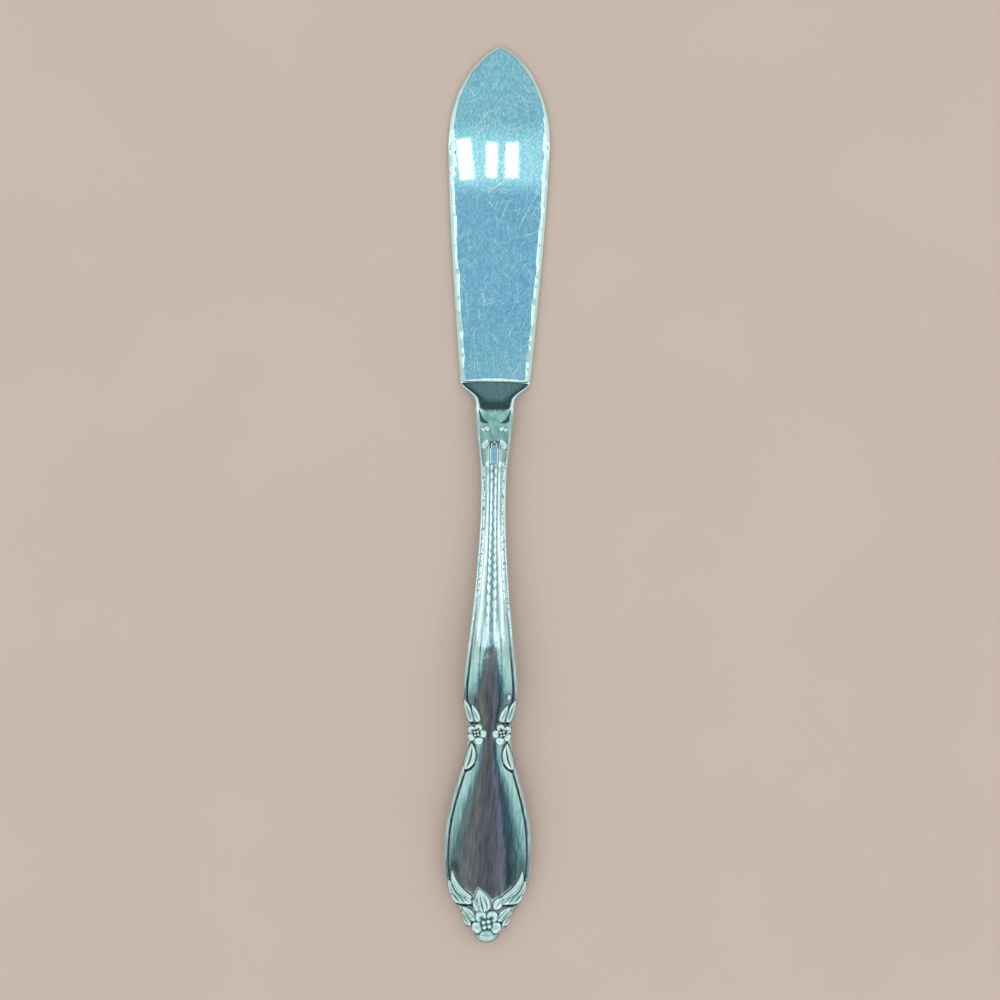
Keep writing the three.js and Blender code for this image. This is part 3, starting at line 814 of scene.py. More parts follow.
def lofted(name, loops):
    """A closed mesh through loops of points that turn anticlockwise seen from the butt."""
    rings, count, _ = loops.shape
    ring = np.arange(rings - 1)[:, None] * count
    j = np.arange(count)[None, :]
    k = (j + 1) % count
    sides = np.stack([ring + j, ring + count + j, ring + count + k, ring + k], axis=-1).reshape(-1, 4)
    last = (rings - 1) * count
    caps = [list(range(count)), list(range(last + count - 1, last - 1, -1))]
    return new_piece(name, in_frame(loops).tolist(), sides.tolist() + caps, LOFT_SHARP_ANGLE)


def front_and_back(x, s, front, back):
    """Loops across the front and home across the back."""
    return np.concatenate([points(x, s, front), points(x, s, back)[:, ::-1]], axis=1)


def paint(piece, name, values):
    """Keeps a number for each point of a mesh, for its material."""
    attribute = piece.data.attributes.new(name, "FLOAT", "POINT")
    attribute.data.foreach_set("value", values.astype(np.float32).ravel())


def run(a, b, step):
    """Places from a on, about a step apart, up to but without b."""
    return np.linspace(a, b, max(2, round((b - a) / step) + 1))[:-1]


def stations(runs, end):
    """Places along the knife, by runs of (start, step) up to an end."""
    ends = [start for start, _ in runs[1:]] + [end]
    return np.concatenate([run(a, b, step) for (a, step), b in zip(runs, ends)] + [[end]])


def across_shares():
    """Shares of the half width from the right edge to the left, closer together at the edges."""
    t = np.linspace(1, -1, POINTS_ACROSS)
    return mix(t, np.sin(math.pi / 2 * t), EDGE_CROWDING)


def hollow(s):
    """(half width, half height) of the handle's hollow, nothing in the solid butt."""
    nose = 1 - unit((s - BUTT_SOLID) / CAVITY_NOSE)
    share = np.where(s < BUTT_SOLID, 0, np.sqrt(1 - (NOSE_ROUND_SHARE * nose) ** 2))
    across = np.where(s < BUTT_SOLID, BUTT_SOLID_SHARE * half_width(s), share * (half_width(s) - WALL))
    return across, share * (crown(s) - WALL)


def shell(name, side):
    """The front (side 1) or back (side -1) half of the handle, hollow inside."""
    s = stations(HANDLE_RUNS, HANDLE_LENGTH)[:, None]
    x = across_shares()[None, :] * half_width(s)
    height, marks = face(np.broadcast_to(s, x.shape), x)
    outside = points(x, s, seam_height(s) + side * height)
    across, up = hollow(s)
    turn = np.linspace(math.pi, 0, POINTS_INSIDE)[None, :]
    inner_x = across * np.cos(turn)
    inner_up = np.maximum(up * np.sin(turn), SEAM / 2)
    inside = points(inner_x, s, seam_height(s) + side * inner_up)
    loops = np.concatenate([outside, inside], axis=1)
    loops[..., 2] = np.maximum(loops[..., 2], 0)
    turned = slice(None, None, side)
    piece = lofted(name, loops[:, turned])
    for mark, values in marks.items():
        paint(piece, mark, np.concatenate([values, np.zeros_like(inner_x)], axis=1)[:, turned])
    return piece


def seam_ring(name):
    """The solder layer between the shells: a strip at each side, closed across the solid butt."""
    s = stations(SEAM_RUNS, HANDLE_LENGTH)
    across, _ = hollow(s)
    half = half_width(s)
    columns = np.stack([half, across, -across, -half], axis=1)
    low = points(columns, s[:, None], seam_height(s)[:, None] - SEAM / 2)
    high = points(columns, s[:, None], seam_height(s)[:, None] + SEAM / 2)
    filled = np.ones((len(s) - 1, 3), bool)
    filled[:, 1] = s[:-1] < BUTT_SOLID
    top = len(s) * 4
    faces = []
    for i, j in zip(*np.nonzero(filled)):
        a, b, c, d = i * 4 + j, (i + 1) * 4 + j, (i + 1) * 4 + j + 1, i * 4 + j + 1
        faces += [[a, d, c, b], [top + a, top + b, top + c, top + d]]
        beside = [(i, j - 1, a, b), (i + 1, j, b, c), (i, j + 1, c, d), (i - 1, j, d, a)]
        for row, column, p, q in beside:
            in_grid = 0 <= row < len(filled) and 0 <= column < 3
            if not (in_grid and filled[row, column]):
                faces.append([p, q, top + q, top + p])
    return new_piece(name, in_frame(np.concatenate([low, high])).tolist(), faces, SEAM_SHARP_ANGLE)


# Blade


def blade_half(s):
    """Half the width of neck and blade."""
    to_widest = unit((s - SHOULDER_AT) / (BLADE_WIDEST_AT - SHOULDER_AT))
    to_tip = unit((s - BLADE_WIDEST_AT) / OGIVE_LENGTH)
    taper = mix(SHOULDER_WIDTH, BLADE_WIDTH, 1 - (1 - to_widest) ** BLADE_TAPER_POWER) / 2
    plate = taper * (1 - to_tip**OGIVE_SWELL_POWER) ** OGIVE_POINT_POWER
    neck = swell(s, HANDLE_LENGTH + NECK_STRAIGHT, NECK_WIDTH, SHOULDER_AT, SHOULDER_WIDTH) / 2
    return np.maximum(np.where(s < SHOULDER_AT, neck, plate), BLADE_TIP_FLAT / 2)


def blade_top(s):
    return mix(BLADE_THICKNESS, BLADE_TIP_THICKNESS, unit((s - SHOULDER_AT) / BLADE_LENGTH))


def hand_ground(s, phase):
    """A share by which a hand-ground edge wanders, from a few fixed waves."""
    waves = [size * np.sin(rate * s + phase * (WANDER_STAGGER + rate)) for rate, size in WANDER_WAVES]
    return sum(waves) / sum(size for _, size in WANDER_WAVES)


def bevel_drop(s, x):
    """0 on the flat of the blade, 1 at its edge."""
    half = blade_half(s)
    near = 0.05
    slope = (blade_half(s + near) - blade_half(s - near)) / (2 * near)
    from_edge = (half - np.abs(x)) / np.sqrt(1 + slope**2)
    wander = np.where(x > 0, hand_ground(s, RIGHT_WANDER), hand_ground(s, LEFT_WANDER))
    even = swell(s, BLADE_WIDEST_AT, BLADE_BEVEL, BLADE_WIDEST_AT + OGIVE_LENGTH / 2, OGIVE_BEVEL)
    bulge = BEVEL_BULGE * hump(s, BLADE_WIDEST_AT - BEVEL_BULGE_BEFORE_WIDEST, BEVEL_BULGE_REACH)
    width = (even + bulge) * (1 + BEVEL_WANDER * wander)
    share = unit(1 - from_edge / width)
    return np.interp(share, [0, BEVEL_BREAK, 1], [0, BEVEL_LEAN, 1])


def neck_section(s, x):
    """(flare, edge, arc) of the neck: how far it has flared, its edge's height, and its rounding at x."""
    flare = ease((s - HANDLE_LENGTH) / NECK_LENGTH)
    edge = mix(NECK_LIFT + NECK_HEIGHT / 2, blade_top(s) / 2, flare)
    arc = plain_arc(np.abs(x) / blade_half(s), mix(NECK_ROUND_POWER, SHOULDER_ROUND_POWER, flare))
    return flare, edge, arc


def blade_front(s, x):
    flare, middle, arc = neck_section(s, x)
    edge = middle + BLADE_EDGE / 2 * flare
    scoop_end = SHOULDER_AT + SCOOP_PAST_SHOULDER
    down = unit((s - HANDLE_LENGTH) / (scoop_end - HANDLE_LENGTH))
    curve = mix(down, down**2 * (2 - down), SCOOP_BOW)
    scoop_top = mix(NECK_LIFT + NECK_HEIGHT - MOUTH_FALL, BLADE_THICKNESS - SCOOP_DIP, curve)
    scoop = edge + (scoop_top - edge) * arc
    plate = blade_top(s) - (blade_top(s) - edge) * bevel_drop(s, x)
    step_at = SHOULDER_AT + STEP_PAST_SHOULDER - STEP_BOW * (2 * x / SHOULDER_WIDTH) ** 2
    return mix(scoop, plate, unit((s - step_at) / STEP_LENGTH + 0.5) ** STEP_POWER)


def blade_back(s, x):
    flare, middle, arc = neck_section(s, x)
    edge = middle - BLADE_EDGE / 2 * flare
    neck = edge - (edge - mix(NECK_LIFT + MOUTH_FALL, 0.0, flare)) * arc
    plate = edge * bevel_drop(s, x)
    return mix(neck, plate, ease((s - SHOULDER_AT + BACK_FLAT_BEFORE_SHOULDER) / BACK_FLAT_FADE))


def tang_loops(shares):
    """Sections of the notched tang, from its tip in the handle to the mouth."""
    s = np.linspace(HANDLE_LENGTH - TANG_LENGTH, HANDLE_LENGTH, TANG_STATIONS)[:, None]
    inward = HANDLE_LENGTH - s
    taper = mix(1, TANG_TIP_SHARE, inward / TANG_LENGTH)
    pitch = TANG_LENGTH / (TANG_NOTCHES + 1)
    nearest = np.clip(np.round(inward / pitch), 1, TANG_NOTCHES) * pitch
    notch = TANG_NOTCH_DEPTH * ease(1 - np.abs(inward - nearest) / (TANG_NOTCH_LENGTH / 2))
    x = shares[None, :] * (TANG_WIDTH / 2 * taper - notch)
    arc = np.maximum(plain_arc(np.abs(shares), TANG_ROUND_POWER), TANG_EDGE_SHARE)
    up = TANG_HEIGHT / 2 * taper * arc[None, :]
    return front_and_back(x, s, seam_height(s) + up, seam_height(s) - up)


def blade_stations():
    crowded = 1 - (1 - np.linspace(0, 1, OGIVE_STATIONS)) ** OGIVE_CROWDING
    ogive = mix(BLADE_WIDEST_AT, OVERALL_LENGTH, crowded)
    return np.concatenate([stations(BLADE_RUNS, BLADE_WIDEST_AT), ogive[1:]])


def blade(name):
    """Blade, scooped neck and tang, one closed forging."""
    shares = np.sin(math.pi / 2 * np.linspace(1, -1, POINTS_ACROSS))
    s = blade_stations()[:, None]
    x = shares[None, :] * blade_half(s)
    s = np.broadcast_to(s, x.shape)
    tang = tang_loops(shares)
    loops = front_and_back(x, s, blade_front(s, x), blade_back(s, x))
    piece = lofted(name, np.concatenate([tang, loops], axis=0))
    on_bevel = np.where(s > SHOULDER_AT, bevel_drop(s, x), 0)
    # Round the tip the bevel gets the ground colour at least in part: a painted highlight line
    on_tip = ease((s - BLADE_WIDEST_AT - TIP_HIGHLIGHT_FROM) / TIP_HIGHLIGHT_FADE)
    on_bevel = np.where(on_bevel > 0, np.maximum(on_bevel, TIP_HIGHLIGHT_LEAST * on_tip), 0)
    both = np.concatenate([on_bevel, on_bevel[:, ::-1]], axis=1)
    paint(piece, "bevel", np.concatenate([np.zeros(tang.shape[:2]), both], axis=0))
    on_neck = np.concatenate([s, s], axis=1) < SHOULDER_AT
    paint(piece, "neck", np.concatenate([np.ones(tang.shape[:2]), on_neck], axis=0))
    return piece


# Materials


class Nodes:
    """Adds nodes to a tree. A value is a number or a colour, or the socket that it comes from."""

    def __init__(self, tree):
        self.tree = tree

    def feed(self, socket, value):
        if isinstance(value, bpy.types.NodeSocket):
            self.tree.links.new(value, socket)
        else:
            socket.default_value = value

    def add(self, kind, inputs=None, **settings):
        made = self.tree.nodes.new(kind)
        for key, value in settings.items():
            setattr(made, key, value)
        for key, value in (inputs or {}).items():
            self.feed(made.inputs[key], value)
        return made

    def place(self):
        return self.add("ShaderNodeTexCoord").outputs["Object"]

    def noise(self, turn, across, along, detail=2.0):
        """Noise drawn out into streaks at a turn from the knife's length; sizes in millimetres."""
        turned = {"Vector": self.place(), "Rotation": (0, 0, math.radians(turn))}
        scale = (1 / (across * MM), 1 / (along * MM), 1 / (across * MM))
        drawn = {"Vector": self.add("ShaderNodeMapping", turned).outputs[0], "Scale": scale}
        drawn_place = self.add("ShaderNodeMapping", drawn).outputs[0]
        inputs = {"Vector": drawn_place, "Scale": 1.0, "Detail": detail}
        return self.add("ShaderNodeTexNoise", inputs).outputs["Fac"]

    def ranged(self, value, low, high, to_low=0.0, to_high=1.0):
        """A value carried over from one range to another."""
        inputs = {"Value": value, "From Min": low, "From Max": high, "To Min": to_low, "To Max": to_high}
        return self.add("ShaderNodeMapRange", inputs).outputs["Result"]

    def calc(self, operation, a, b=0.0):
        return self.add("ShaderNodeMath", {0: a, 1: b}, operation=operation).outputs[0]

    def plus(self, a, b):
        return self.calc("ADD", a, b)

    def times(self, a, b):
        return self.calc("MULTIPLY", a, b)

    def larger(self, a, b):
        return self.calc("MAXIMUM", a, b)

    def vector(self, operation, a, b):
        return self.add("ShaderNodeVectorMath", {0: a, 1: b}, operation=operation).outputs

    def mix(self, share, a, b):
        """A colour between two others."""
        return self.add("ShaderNodeMix", {0: share, 6: a, 7: b}, data_type="RGBA").outputs[2]

    def marked(self, name):
        """A number painted on the points of a mesh."""
        return self.add("ShaderNodeAttribute", attribute_name=name).outputs["Fac"]

    def bump(self, height, depth, normal=None):
        inputs = {"Height": height, "Strength": 1.0, "Distance": depth * MM}
        if normal:
            inputs["Normal"] = normal
        return self.add("ShaderNodeBump", inputs).outputs[0]


def new_material(name):
    """(material, its nodes, its shader's inputs)"""
    material = bpy.data.materials.new(name)
    material.use_nodes = True
    tree = material.node_tree
    return material, Nodes(tree), tree.nodes["Principled BSDF"].inputs


STEEL = (0.66, 0.75, 0.77, 1)
BLADE_STEEL = (0.5, 0.62, 0.66, 1)
WORN_STEEL = (0.72, 0.8, 0.81, 1)
BRIGHT_STEEL = (0.83, 0.91, 0.91, 1)
SCRATCHED_STEEL = (0.97, 1.0, 1.0, 1)
# Pale mint of the bevel: its ground finish with a painted highlight
GROUND_AND_HIGHLIGHT_STEEL = (0.6, 0.8, 0.77, 1)
STREAKED_STEEL = (0.29, 0.34, 0.36, 1)
# Pale mint of the tongue: its satin finish with a painted reflection
SATIN_SHEEN_STEEL = (0.34, 0.64, 0.61, 1)
SATIN_SHADE = (0.2, 0.44, 0.44, 1)
FROSTED_STEEL = (0.27, 0.56, 0.545, 1)
# The white of the ornament's ridges is a painted highlight
RIDGE_HIGHLIGHT_STEEL = (0.8, 1.0, 0.98, 1)
# Dark teal of grooves, hollows and gaps: mostly painted shade, with some tarnish
PAINTED_SHADE_AND_TARNISH = (0.01, 0.04, 0.042, 1)
SOLDER_DARK = (0.5, 0.53, 0.5, 1)
SOLDER_PALE = (0.72, 0.74, 0.7, 1)
CEMENT_DARK = (0.22, 0.19, 0.15, 1)
CEMENT_PALE = (0.5, 0.45, 0.38, 1)
TABLE_DARK = (0.61, 0.5, 0.43, 1)
TABLE_PALE = (0.63, 0.52, 0.45, 1)

# Fine scratches in layers: the turn from the knife's length, width, length and rarity of each
BLADE_SCRATCHES = [(28, 0.1, 9, 0.67), (-37, 0.1, 7, 0.68), (71, 0.09, 6, 0.68), (-8, 0.09, 14, 0.67)]
HANDLE_SCRATCHES = [(20, 0.1, 6, 0.68), (-30, 0.1, 5, 0.69), (-4, 0.09, 10, 0.68)]
SCRATCH_SOFT = 0.06
# How rough the metal is, from the brightest polish to the dullest, and what marks add to that
BLADE_POLISH = (0.012, 0.024)
HANDLE_POLISH = (0.07, 0.11)
SCRATCH_ROUGH = 0.25
GROUND_ROUGH = 0.015
MATT_ROUGH = 0.22
SCUFF_ROUGH = 0.15
# Rougher where the painted shade and tarnish lie
SHADE_AND_TARNISH_ROUGH = 0.3
# Scratched, ground and matt places scatter light, so they count as metal only in part
DULL_METAL = 0.35
# Depths of the unevenness that only the light shows, in millimetres
RIPPLE_DEPTH = 0.0004
SCRATCH_DEPTH = 0.0006
SCUFF_DEPTH = 0.001
HAMMER_DEPTH = 0.015
WAVE_DEPTH = 0.11
SOLDER_DEPTH = 0.02
CEMENT_DEPTH = 0.08


def scratches(nodes, layers):
    """Fine straight scratches, 1 on a scratch."""
    total = 0.0
    for turn, across, along, rare in layers:
        streak = nodes.noise(turn, across, along)
        total = nodes.larger(total, nodes.ranged(streak, rare, rare + SCRATCH_SOFT))
    return total


def long_scratch(nodes, start, end):
    """1 on a straight scratch between two places (x, s), broken here and there."""
    first, last = in_frame(np.array([[*start, 0.0], [*end, 0.0]]))
    length = float(np.linalg.norm(last - first))
    ahead = (last - first) / length
    aside = (ahead[1], -ahead[0], 0.0)
    off = nodes.vector("SUBTRACT", nodes.place(), first.tolist())[0]
    past = nodes.calc("ABSOLUTE", nodes.vector("DOT_PRODUCT", off, aside)["Value"])
    along = nodes.vector("DOT_PRODUCT", off, ahead.tolist())["Value"]
    near = nodes.ranged(past, 0, SCRATCH_HALF * MM, 1, 0)
    from_middle = nodes.calc("ABSOLUTE", nodes.calc("SUBTRACT", along, length / 2))
    between = nodes.ranged(from_middle, 0.4 * length, 0.5 * length, 1, 0)
    worn = nodes.ranged(nodes.noise(0, 0.8, 0.8), 0.4, 0.55, 0.2, 1)
    return nodes.times(nodes.times(near, between), worn)


def blade_steel():
    material, nodes, shader = new_material("blade_steel")
    scratched = scratches(nodes, BLADE_SCRATCHES)
    for start, end in LONG_SCRATCHES:
        scratched = nodes.larger(scratched, long_scratch(nodes, start, end))
    scratched = nodes.times(scratched, nodes.ranged(nodes.marked("neck"), 0, 1, 1, 0.1))
    smudge = nodes.noise(10, 9, 16, 4.0)
    brushed = nodes.noise(0, 0.5, 40)
    speckled = nodes.noise(30, 0.34, 0.7, 3.0)
    colour = nodes.mix(nodes.ranged(smudge, 0.35, 0.65, 0, 0.4), BLADE_STEEL, WORN_STEEL)
    colour = nodes.mix(nodes.ranged(brushed, 0.4, 0.8, 0, 0.5), colour, WORN_STEEL)
    colour = nodes.mix(nodes.ranged(speckled, 0.42, 0.66), colour, BRIGHT_STEEL)
    colour = nodes.mix(nodes.times(scratched, 0.8), colour, SCRATCHED_STEEL)
    # The bevel takes the pale ground colour: ground finish and painted highlight
    ground = nodes.ranged(nodes.marked("bevel"), 0.05, 0.3)
    nodes.feed(shader["Base Color"], nodes.mix(ground, colour, GROUND_AND_HIGHLIGHT_STEEL))
    polish = nodes.ranged(smudge, 0.3, 0.7, *BLADE_POLISH)
    rough = nodes.plus(polish, nodes.times(scratched, SCRATCH_ROUGH))
    nodes.feed(shader["Roughness"], nodes.plus(rough, nodes.times(ground, GROUND_ROUGH)))
    dull = nodes.larger(ground, scratched)
    nodes.feed(shader["Metallic"], nodes.ranged(dull, 0, 1, 1, DULL_METAL))
    ripple = nodes.bump(nodes.noise(0, 1.3, 1.5, 1.0), RIPPLE_DEPTH)
    nodes.feed(shader["Normal"], nodes.bump(scratched, SCRATCH_DEPTH, ripple))
    return material


def handle_colour(nodes, smudge):
    """Polished, streaked steel, satin with a painted reflection on the tongue, and frosted on the ornament
    with a painted highlight on its ridges.
    """
    polished = nodes.mix(nodes.ranged(smudge, 0.35, 0.65, 0, 0.7), STEEL, WORN_STEEL)
    streak = nodes.noise(5, 0.45, 5, 3.0)
    strength = nodes.ranged(nodes.marked("shaft"), 0, 1, 0.5, 0.2)
    darker = nodes.times(nodes.ranged(streak, 0.5, 0.66), strength)
    lighter = nodes.times(nodes.ranged(streak, 0.46, 0.34), strength)
    polished = nodes.mix(darker, polished, STREAKED_STEEL)
    polished = nodes.mix(lighter, polished, SCRATCHED_STEEL)
    clouded = nodes.ranged(nodes.noise(0, 0.9, 1.4, 2.0), 0.35, 0.65)
    soft = nodes.mix(clouded, SATIN_SHEEN_STEEL, SATIN_SHADE)
    polished = nodes.mix(nodes.marked("satin"), polished, soft)
    # The ornament whitens up its ridges: a painted highlight
    frost_and_ridge_highlight = nodes.mix(nodes.ranged(nodes.marked("ridge"), 0, 0.7, 0.1, 1), FROSTED_STEEL, RIDGE_HIGHLIGHT_STEEL)
    return nodes.mix(nodes.marked("ornament"), polished, frost_and_ridge_highlight)


def handle_shade_and_tarnish(nodes):
    """How dark the painted shade and tarnish lie in the grooves and hollows, with dark specks in the
    channels.
    """
    uneven_darkening = nodes.noise(0, 0.5, 0.6, 3.0)
    speckle = nodes.ranged(nodes.noise(25, 0.3, 0.6, 2.0), 0.53, 0.6, 0, 0.8)
    recess = nodes.larger(nodes.marked("recess"), nodes.times(speckle, nodes.marked("channel")))
    return nodes.times(recess, nodes.ranged(uneven_darkening, 0.3, 0.6, 0.85, 1))


def struck_steel():
    material, nodes, shader = new_material("struck_steel")
    dark = handle_shade_and_tarnish(nodes)
    smudge = nodes.noise(15, 5, 8, 4.0)
    nodes.feed(shader["Base Color"], nodes.mix(dark, handle_colour(nodes, smudge), PAINTED_SHADE_AND_TARNISH))
    scuffed = scratches(nodes, HANDLE_SCRATCHES)
    matt = nodes.larger(nodes.marked("ornament"), nodes.marked("satin"))
    rough = nodes.ranged(smudge, 0.3, 0.7, *HANDLE_POLISH)
    for mark, more in [(matt, MATT_ROUGH), (scuffed, SCUFF_ROUGH), (dark, SHADE_AND_TARNISH_ROUGH)]:
        rough = nodes.plus(rough, nodes.times(mark, more))
    nodes.feed(shader["Roughness"], rough)
    nodes.feed(shader["Metallic"], nodes.ranged(matt, 0, 1, 1, DULL_METAL))
    even = nodes.larger(nodes.marked("smooth"), nodes.marked("reed"))
    uneven = nodes.ranged(even, 0, 1, 1, 0.12)
    hammered = nodes.bump(nodes.times(nodes.noise(0, 0.9, 1.5, 1.0), uneven), HAMMER_DEPTH)
    wavy = nodes.bump(nodes.times(nodes.noise(0, 2.4, 9, 2.0), uneven), WAVE_DEPTH, hammered)
    nodes.feed(shader["Normal"], nodes.bump(scuffed, SCUFF_DEPTH, wavy))
    return material


def solder_metal():
    material, nodes, shader = new_material("solder_metal")
    blotch = nodes.noise(0, 0.6, 2.5, 3.0)
    nodes.feed(shader["Base Color"], nodes.mix(nodes.ranged(blotch, 0.35, 0.65), SOLDER_DARK, SOLDER_PALE))
    nodes.feed(shader["Roughness"], nodes.ranged(blotch, 0.3, 0.7, 0.28, 0.45))
    nodes.feed(shader["Normal"], nodes.bump(blotch, SOLDER_DEPTH))
    shader["Metallic"].default_value = 1.0
    return material


def filling_cement():
    material, nodes, shader = new_material("filling_cement")
    grain = nodes.noise(0, 0.35, 0.35, 5.0)
    nodes.feed(shader["Base Color"], nodes.mix(nodes.ranged(grain, 0.3, 0.7), CEMENT_DARK, CEMENT_PALE))
    nodes.feed(shader["Roughness"], nodes.ranged(grain, 0.3, 0.7, 0.8, 0.95))
    nodes.feed(shader["Normal"], nodes.bump(grain, CEMENT_DEPTH))
    return material


def pale_table():
    material, nodes, shader = new_material("pale_table")
    cloud = nodes.noise(0, 40, 40, 3.0)
    nodes.feed(shader["Base Color"], nodes.mix(nodes.ranged(cloud, 0.3, 0.7), TABLE_DARK, TABLE_PALE))
    nodes.feed(shader["Roughness"], nodes.ranged(cloud, 0.3, 0.7, 0.65, 0.75))
    shader["Specular IOR Level"].default_value = 0.2
    return material


# Pieces


def set_material(piece, material):
    piece.data.materials.clear()
    piece.data.materials.append(material)


def stands_for(piece, node, material):
    set_material(piece, material)
    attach(piece, "root")
    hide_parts(node)


relief_steel = struck_steel()
stands_for(blade("knife_blade"), "blade", blade_steel())
stands_for(shell("front_shell", 1), "handle_front_shell", relief_steel)
stands_for(shell("back_shell", -1), "handle_back_shell", relief_steel)
stands_for(seam_ring("solder_seam"), "seam_solder", solder_metal())
set_material(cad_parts["handle_cement"], filling_cement())


# Stage, light and camera

# The table in metres, just below the knife
TABLE_HALF = 2.0
TABLE_TOP = -1e-4


def table_top():
    sides = [(-1, -1), (1, -1), (1, 1), (-1, 1)]
    corners = [(x * TABLE_HALF, y * TABLE_HALF, TABLE_TOP) for x, y in sides]
    top = new_piece("table_top", corners, [(0, 1, 2, 3)], LOFT_SHARP_ANGLE)
    set_material(top, pale_table())


def colour_ramp(nodes, value, stops):
    """Colours by a value from -1 to 1."""
    made = nodes.add("ShaderNodeValToRGB", {"Fac": nodes.ranged(value, -1, 1)})
    elements = made.color_ramp.elements
    while len(elements) < len(stops):
        elements.new(0.5)
    for element, (place, colour) in zip(elements, stops):
        element.position = 0.5 + 0.5 * place
        element.color = (*colour, 1)
    return made.outputs[0]


# The room as the metal shows it: its colours, and what lies where by the lean to the right, -1 to 1
PALE = (0.9, 1.05, 1.03)
DIM = (0.55, 0.62, 0.58)
MINT = (0.46, 0.78, 0.73)
SAGE = (0.56, 0.78, 0.72)
TEAL = (0.19, 0.35, 0.37)
DEEP = (0.055, 0.1, 0.105)
NIGHT = (0.03, 0.058, 0.072)
NAVY = (0.058, 0.13, 0.19)
GREY = (0.16, 0.165, 0.185)
BEIGE = (0.21, 0.205, 0.195)
VIOLET = (0.19, 0.185, 0.24)
SHADE = (0.1, 0.1, 0.12)
DUSK = (0.34, 0.4, 0.41)
WHITE = (1.15, 1.4, 1.37)
SKY = (0.24, 0.54, 0.72)
LOW_SKY = (0.29, 0.59, 0.72)
GLOW = (0.45, 0.92, 1.03)
HAZE = (0.3, 0.625, 0.73)
BLAZE = (2.2, 2.4, 2.4)


def both_sides(stops):
    """Stops from the middle outward, with the same to the left."""
    return [(-place, colour) for place, colour in reversed(stops) if place > 0] + stops


OVER_BUTT = [(-0.84, DUSK), (-0.6, DEEP), (-0.42, BEIGE), (0.0, SHADE), (0.25, VIOLET), (0.3, NIGHT),
             (0.44, NIGHT), (0.66, TEAL), (0.84, DUSK)]
OVER_HANDLE = [(-1.0, SAGE), (-0.62, MINT), (-0.5, TEAL), (-0.38, DEEP), (-0.24, BEIGE), (-0.1, SHADE),
               (0.0, GREY), (0.1, SHADE), (0.2, VIOLET), (0.27, NAVY), (0.42, NAVY), (0.5, TEAL),
               (0.6, MINT), (1.0, SAGE)]
BESIDE_SKY = [(0.05, TEAL), (0.08, WHITE), (0.66, WHITE), (0.8, DIM), (1.0, PALE)]
UNDER_LIGHTS = both_sides([(0.0, LOW_SKY), (0.036, LOW_SKY), *BESIDE_SKY])
SIDE_LIGHTS = both_sides([(0.0, SKY), (0.036, SKY), *BESIDE_SKY])
LAMP_ROW = both_sides([(0.0, GLOW), (0.06, GLOW), (0.1, WHITE), (0.28, WHITE), (0.34, BLAZE), (1.0, BLAZE)])
OVER_TIP = both_sides([(0.0, HAZE), (0.05, HAZE), (0.12, TEAL), (0.28, TEAL), (0.36, WHITE), (1.0, PALE)])

# By the lean ahead, -1 to 1: where one part of the room starts to give way to the next, and has given way
HANDLE_AHEAD = (-0.3, -0.08)
LIGHTS_AHEAD = [
    (0.047, 0.051, UNDER_LIGHTS),
    (0.075, 0.1, SIDE_LIGHTS),
    (0.163, 0.17, LAMP_ROW),
    (0.188, 0.197, OVER_TIP),
]
BEHIND = (-0.53, -0.6)
FAR = (0.27, 0.5)
FAR_ASIDE = (0.5, 0.75)
HORIZON = (0.76, 0.88)
# The dark over the handle narrows toward the lights, between these two places ahead, to this share
DARK_NARROW_AT = 0.06
DARK_FULL_AT = -0.09
DARK_NARROWEST = 0.15
FAR_AHEAD = (0.045, 0.085, 0.095, 1)
OVER_HORIZON = (0.14, 0.235, 0.25, 1)
FAR_BEHIND = (1.0, 1.2, 1.18, 1)
BACKDROP = (0.95, 0.95, 0.95, 1)
SOFT_LIGHT_LOW = 0.35
SOFT_LIGHT_HIGH = 1.25


def room_in_metal(nodes, rightward, ahead):
    """The colour of the room in a direction, by its leans to the right and ahead."""
    narrowing = nodes.ranged(ahead, DARK_FULL_AT, DARK_NARROW_AT, 1, DARK_NARROWEST)
    lean = nodes.calc("DIVIDE", rightward, narrowing)
    over_butt = colour_ramp(nodes, lean, OVER_BUTT)
    room = nodes.mix(nodes.ranged(ahead, *HANDLE_AHEAD), over_butt, colour_ramp(nodes, lean, OVER_HANDLE))
    for start, end, stops in LIGHTS_AHEAD:
        room = nodes.mix(nodes.ranged(ahead, start, end), room, colour_ramp(nodes, rightward, stops))
    room = nodes.mix(nodes.ranged(ahead, *BEHIND), room, FAR_BEHIND)
    aside = nodes.calc("ABSOLUTE", rightward)
    dark = nodes.times(nodes.ranged(ahead, *FAR), nodes.ranged(aside, *FAR_ASIDE, 1, 0))
    far = nodes.mix(nodes.ranged(ahead, *HORIZON), FAR_AHEAD, OVER_HORIZON)
    return nodes.mix(dark, room, far)


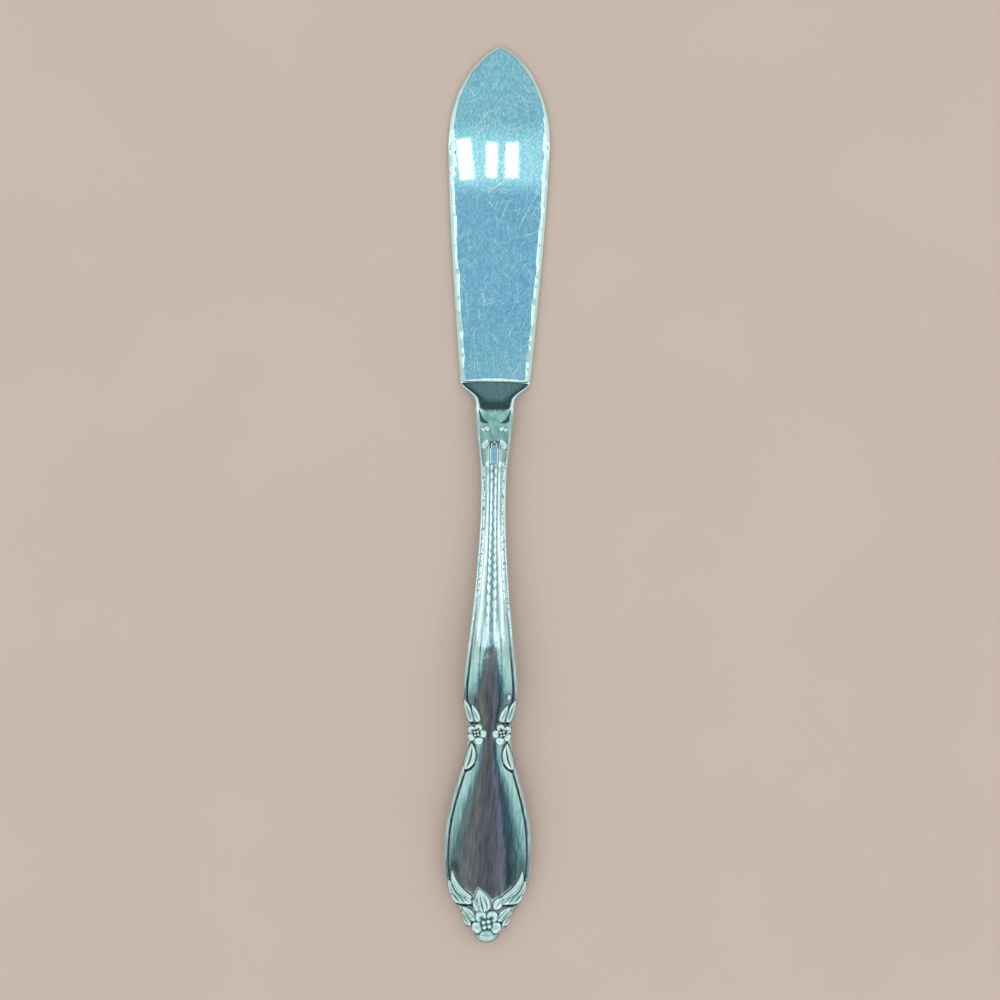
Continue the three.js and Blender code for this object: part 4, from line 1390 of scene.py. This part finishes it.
def room_light():
    """Even soft light on the table, and the room that shows in the metal."""
    world = bpy.data.worlds.new("room")
    world.use_nodes = True
    nodes = Nodes(world.node_tree)
    toward = nodes.add("ShaderNodeTexCoord").outputs["Generated"]
    parts = nodes.add("ShaderNodeSeparateXYZ", {"Vector": toward}).outputs
    soft = nodes.ranged(parts["Z"], 0, 1, SOFT_LIGHT_LOW, SOFT_LIGHT_HIGH)
    path = nodes.add("ShaderNodeLightPath").outputs
    seen = nodes.mix(path["Is Camera Ray"], soft, BACKDROP)
    seen = nodes.mix(path["Is Glossy Ray"], seen, room_in_metal(nodes, parts["X"], parts["Y"]))
    nodes.feed(world.node_tree.nodes["Background"].inputs["Color"], seen)
    bpy.context.scene.world = world


# The camera looks straight down, turned a little so that the knife leans as it does on the table
CAMERA_HEIGHT = 0.4
FRAME_WIDTH = 0.196
LEAN = 0.01624
LOOK_AT = (0.00129, -0.0011)
SENSOR = 36.0
NEAREST = 0.01


def camera():
    data = bpy.data.cameras.new("camera")
    data.sensor_width = SENSOR
    data.lens = SENSOR * CAMERA_HEIGHT / FRAME_WIDTH
    data.clip_start = NEAREST
    eye = new_object("camera", data)
    eye.location = (*LOOK_AT, CAMERA_HEIGHT)
    eye.rotation_euler = (0, 0, LEAN)
    bpy.context.scene.camera = eye


# Three narrow ceiling lamps, which the blade shows as bars: place across, width, length and turn of each
LAMP_HEIGHT = 0.8
LAMP_AHEAD = 0.211
LAMP_GLOW = 1.4
LAMPS = [
    (-0.0223, 0.0085, 0.024, 0.125),
    (-0.0068, 0.0065, 0.0205, 0.0),
    (0.00495, 0.0077, 0.0212, 0.0),
]


def ceiling_lamps():
    for i, (x, width, length, turn) in enumerate(LAMPS):
        data = bpy.data.lights.new(f"ceiling_lamp_{i}", "AREA")
        data.shape = "RECTANGLE"
        data.size, data.size_y = width, length
        data.energy = LAMP_GLOW * math.pi * width * length
        lamp = new_object(data.name, data)
        lamp.location = (x, LAMP_AHEAD, LAMP_HEIGHT)
        lamp.rotation_euler = (0, 0, turn)


table_top()
room_light()
camera()
ceiling_lamps()
bpy.context.scene.view_settings.view_transform = "Standard"
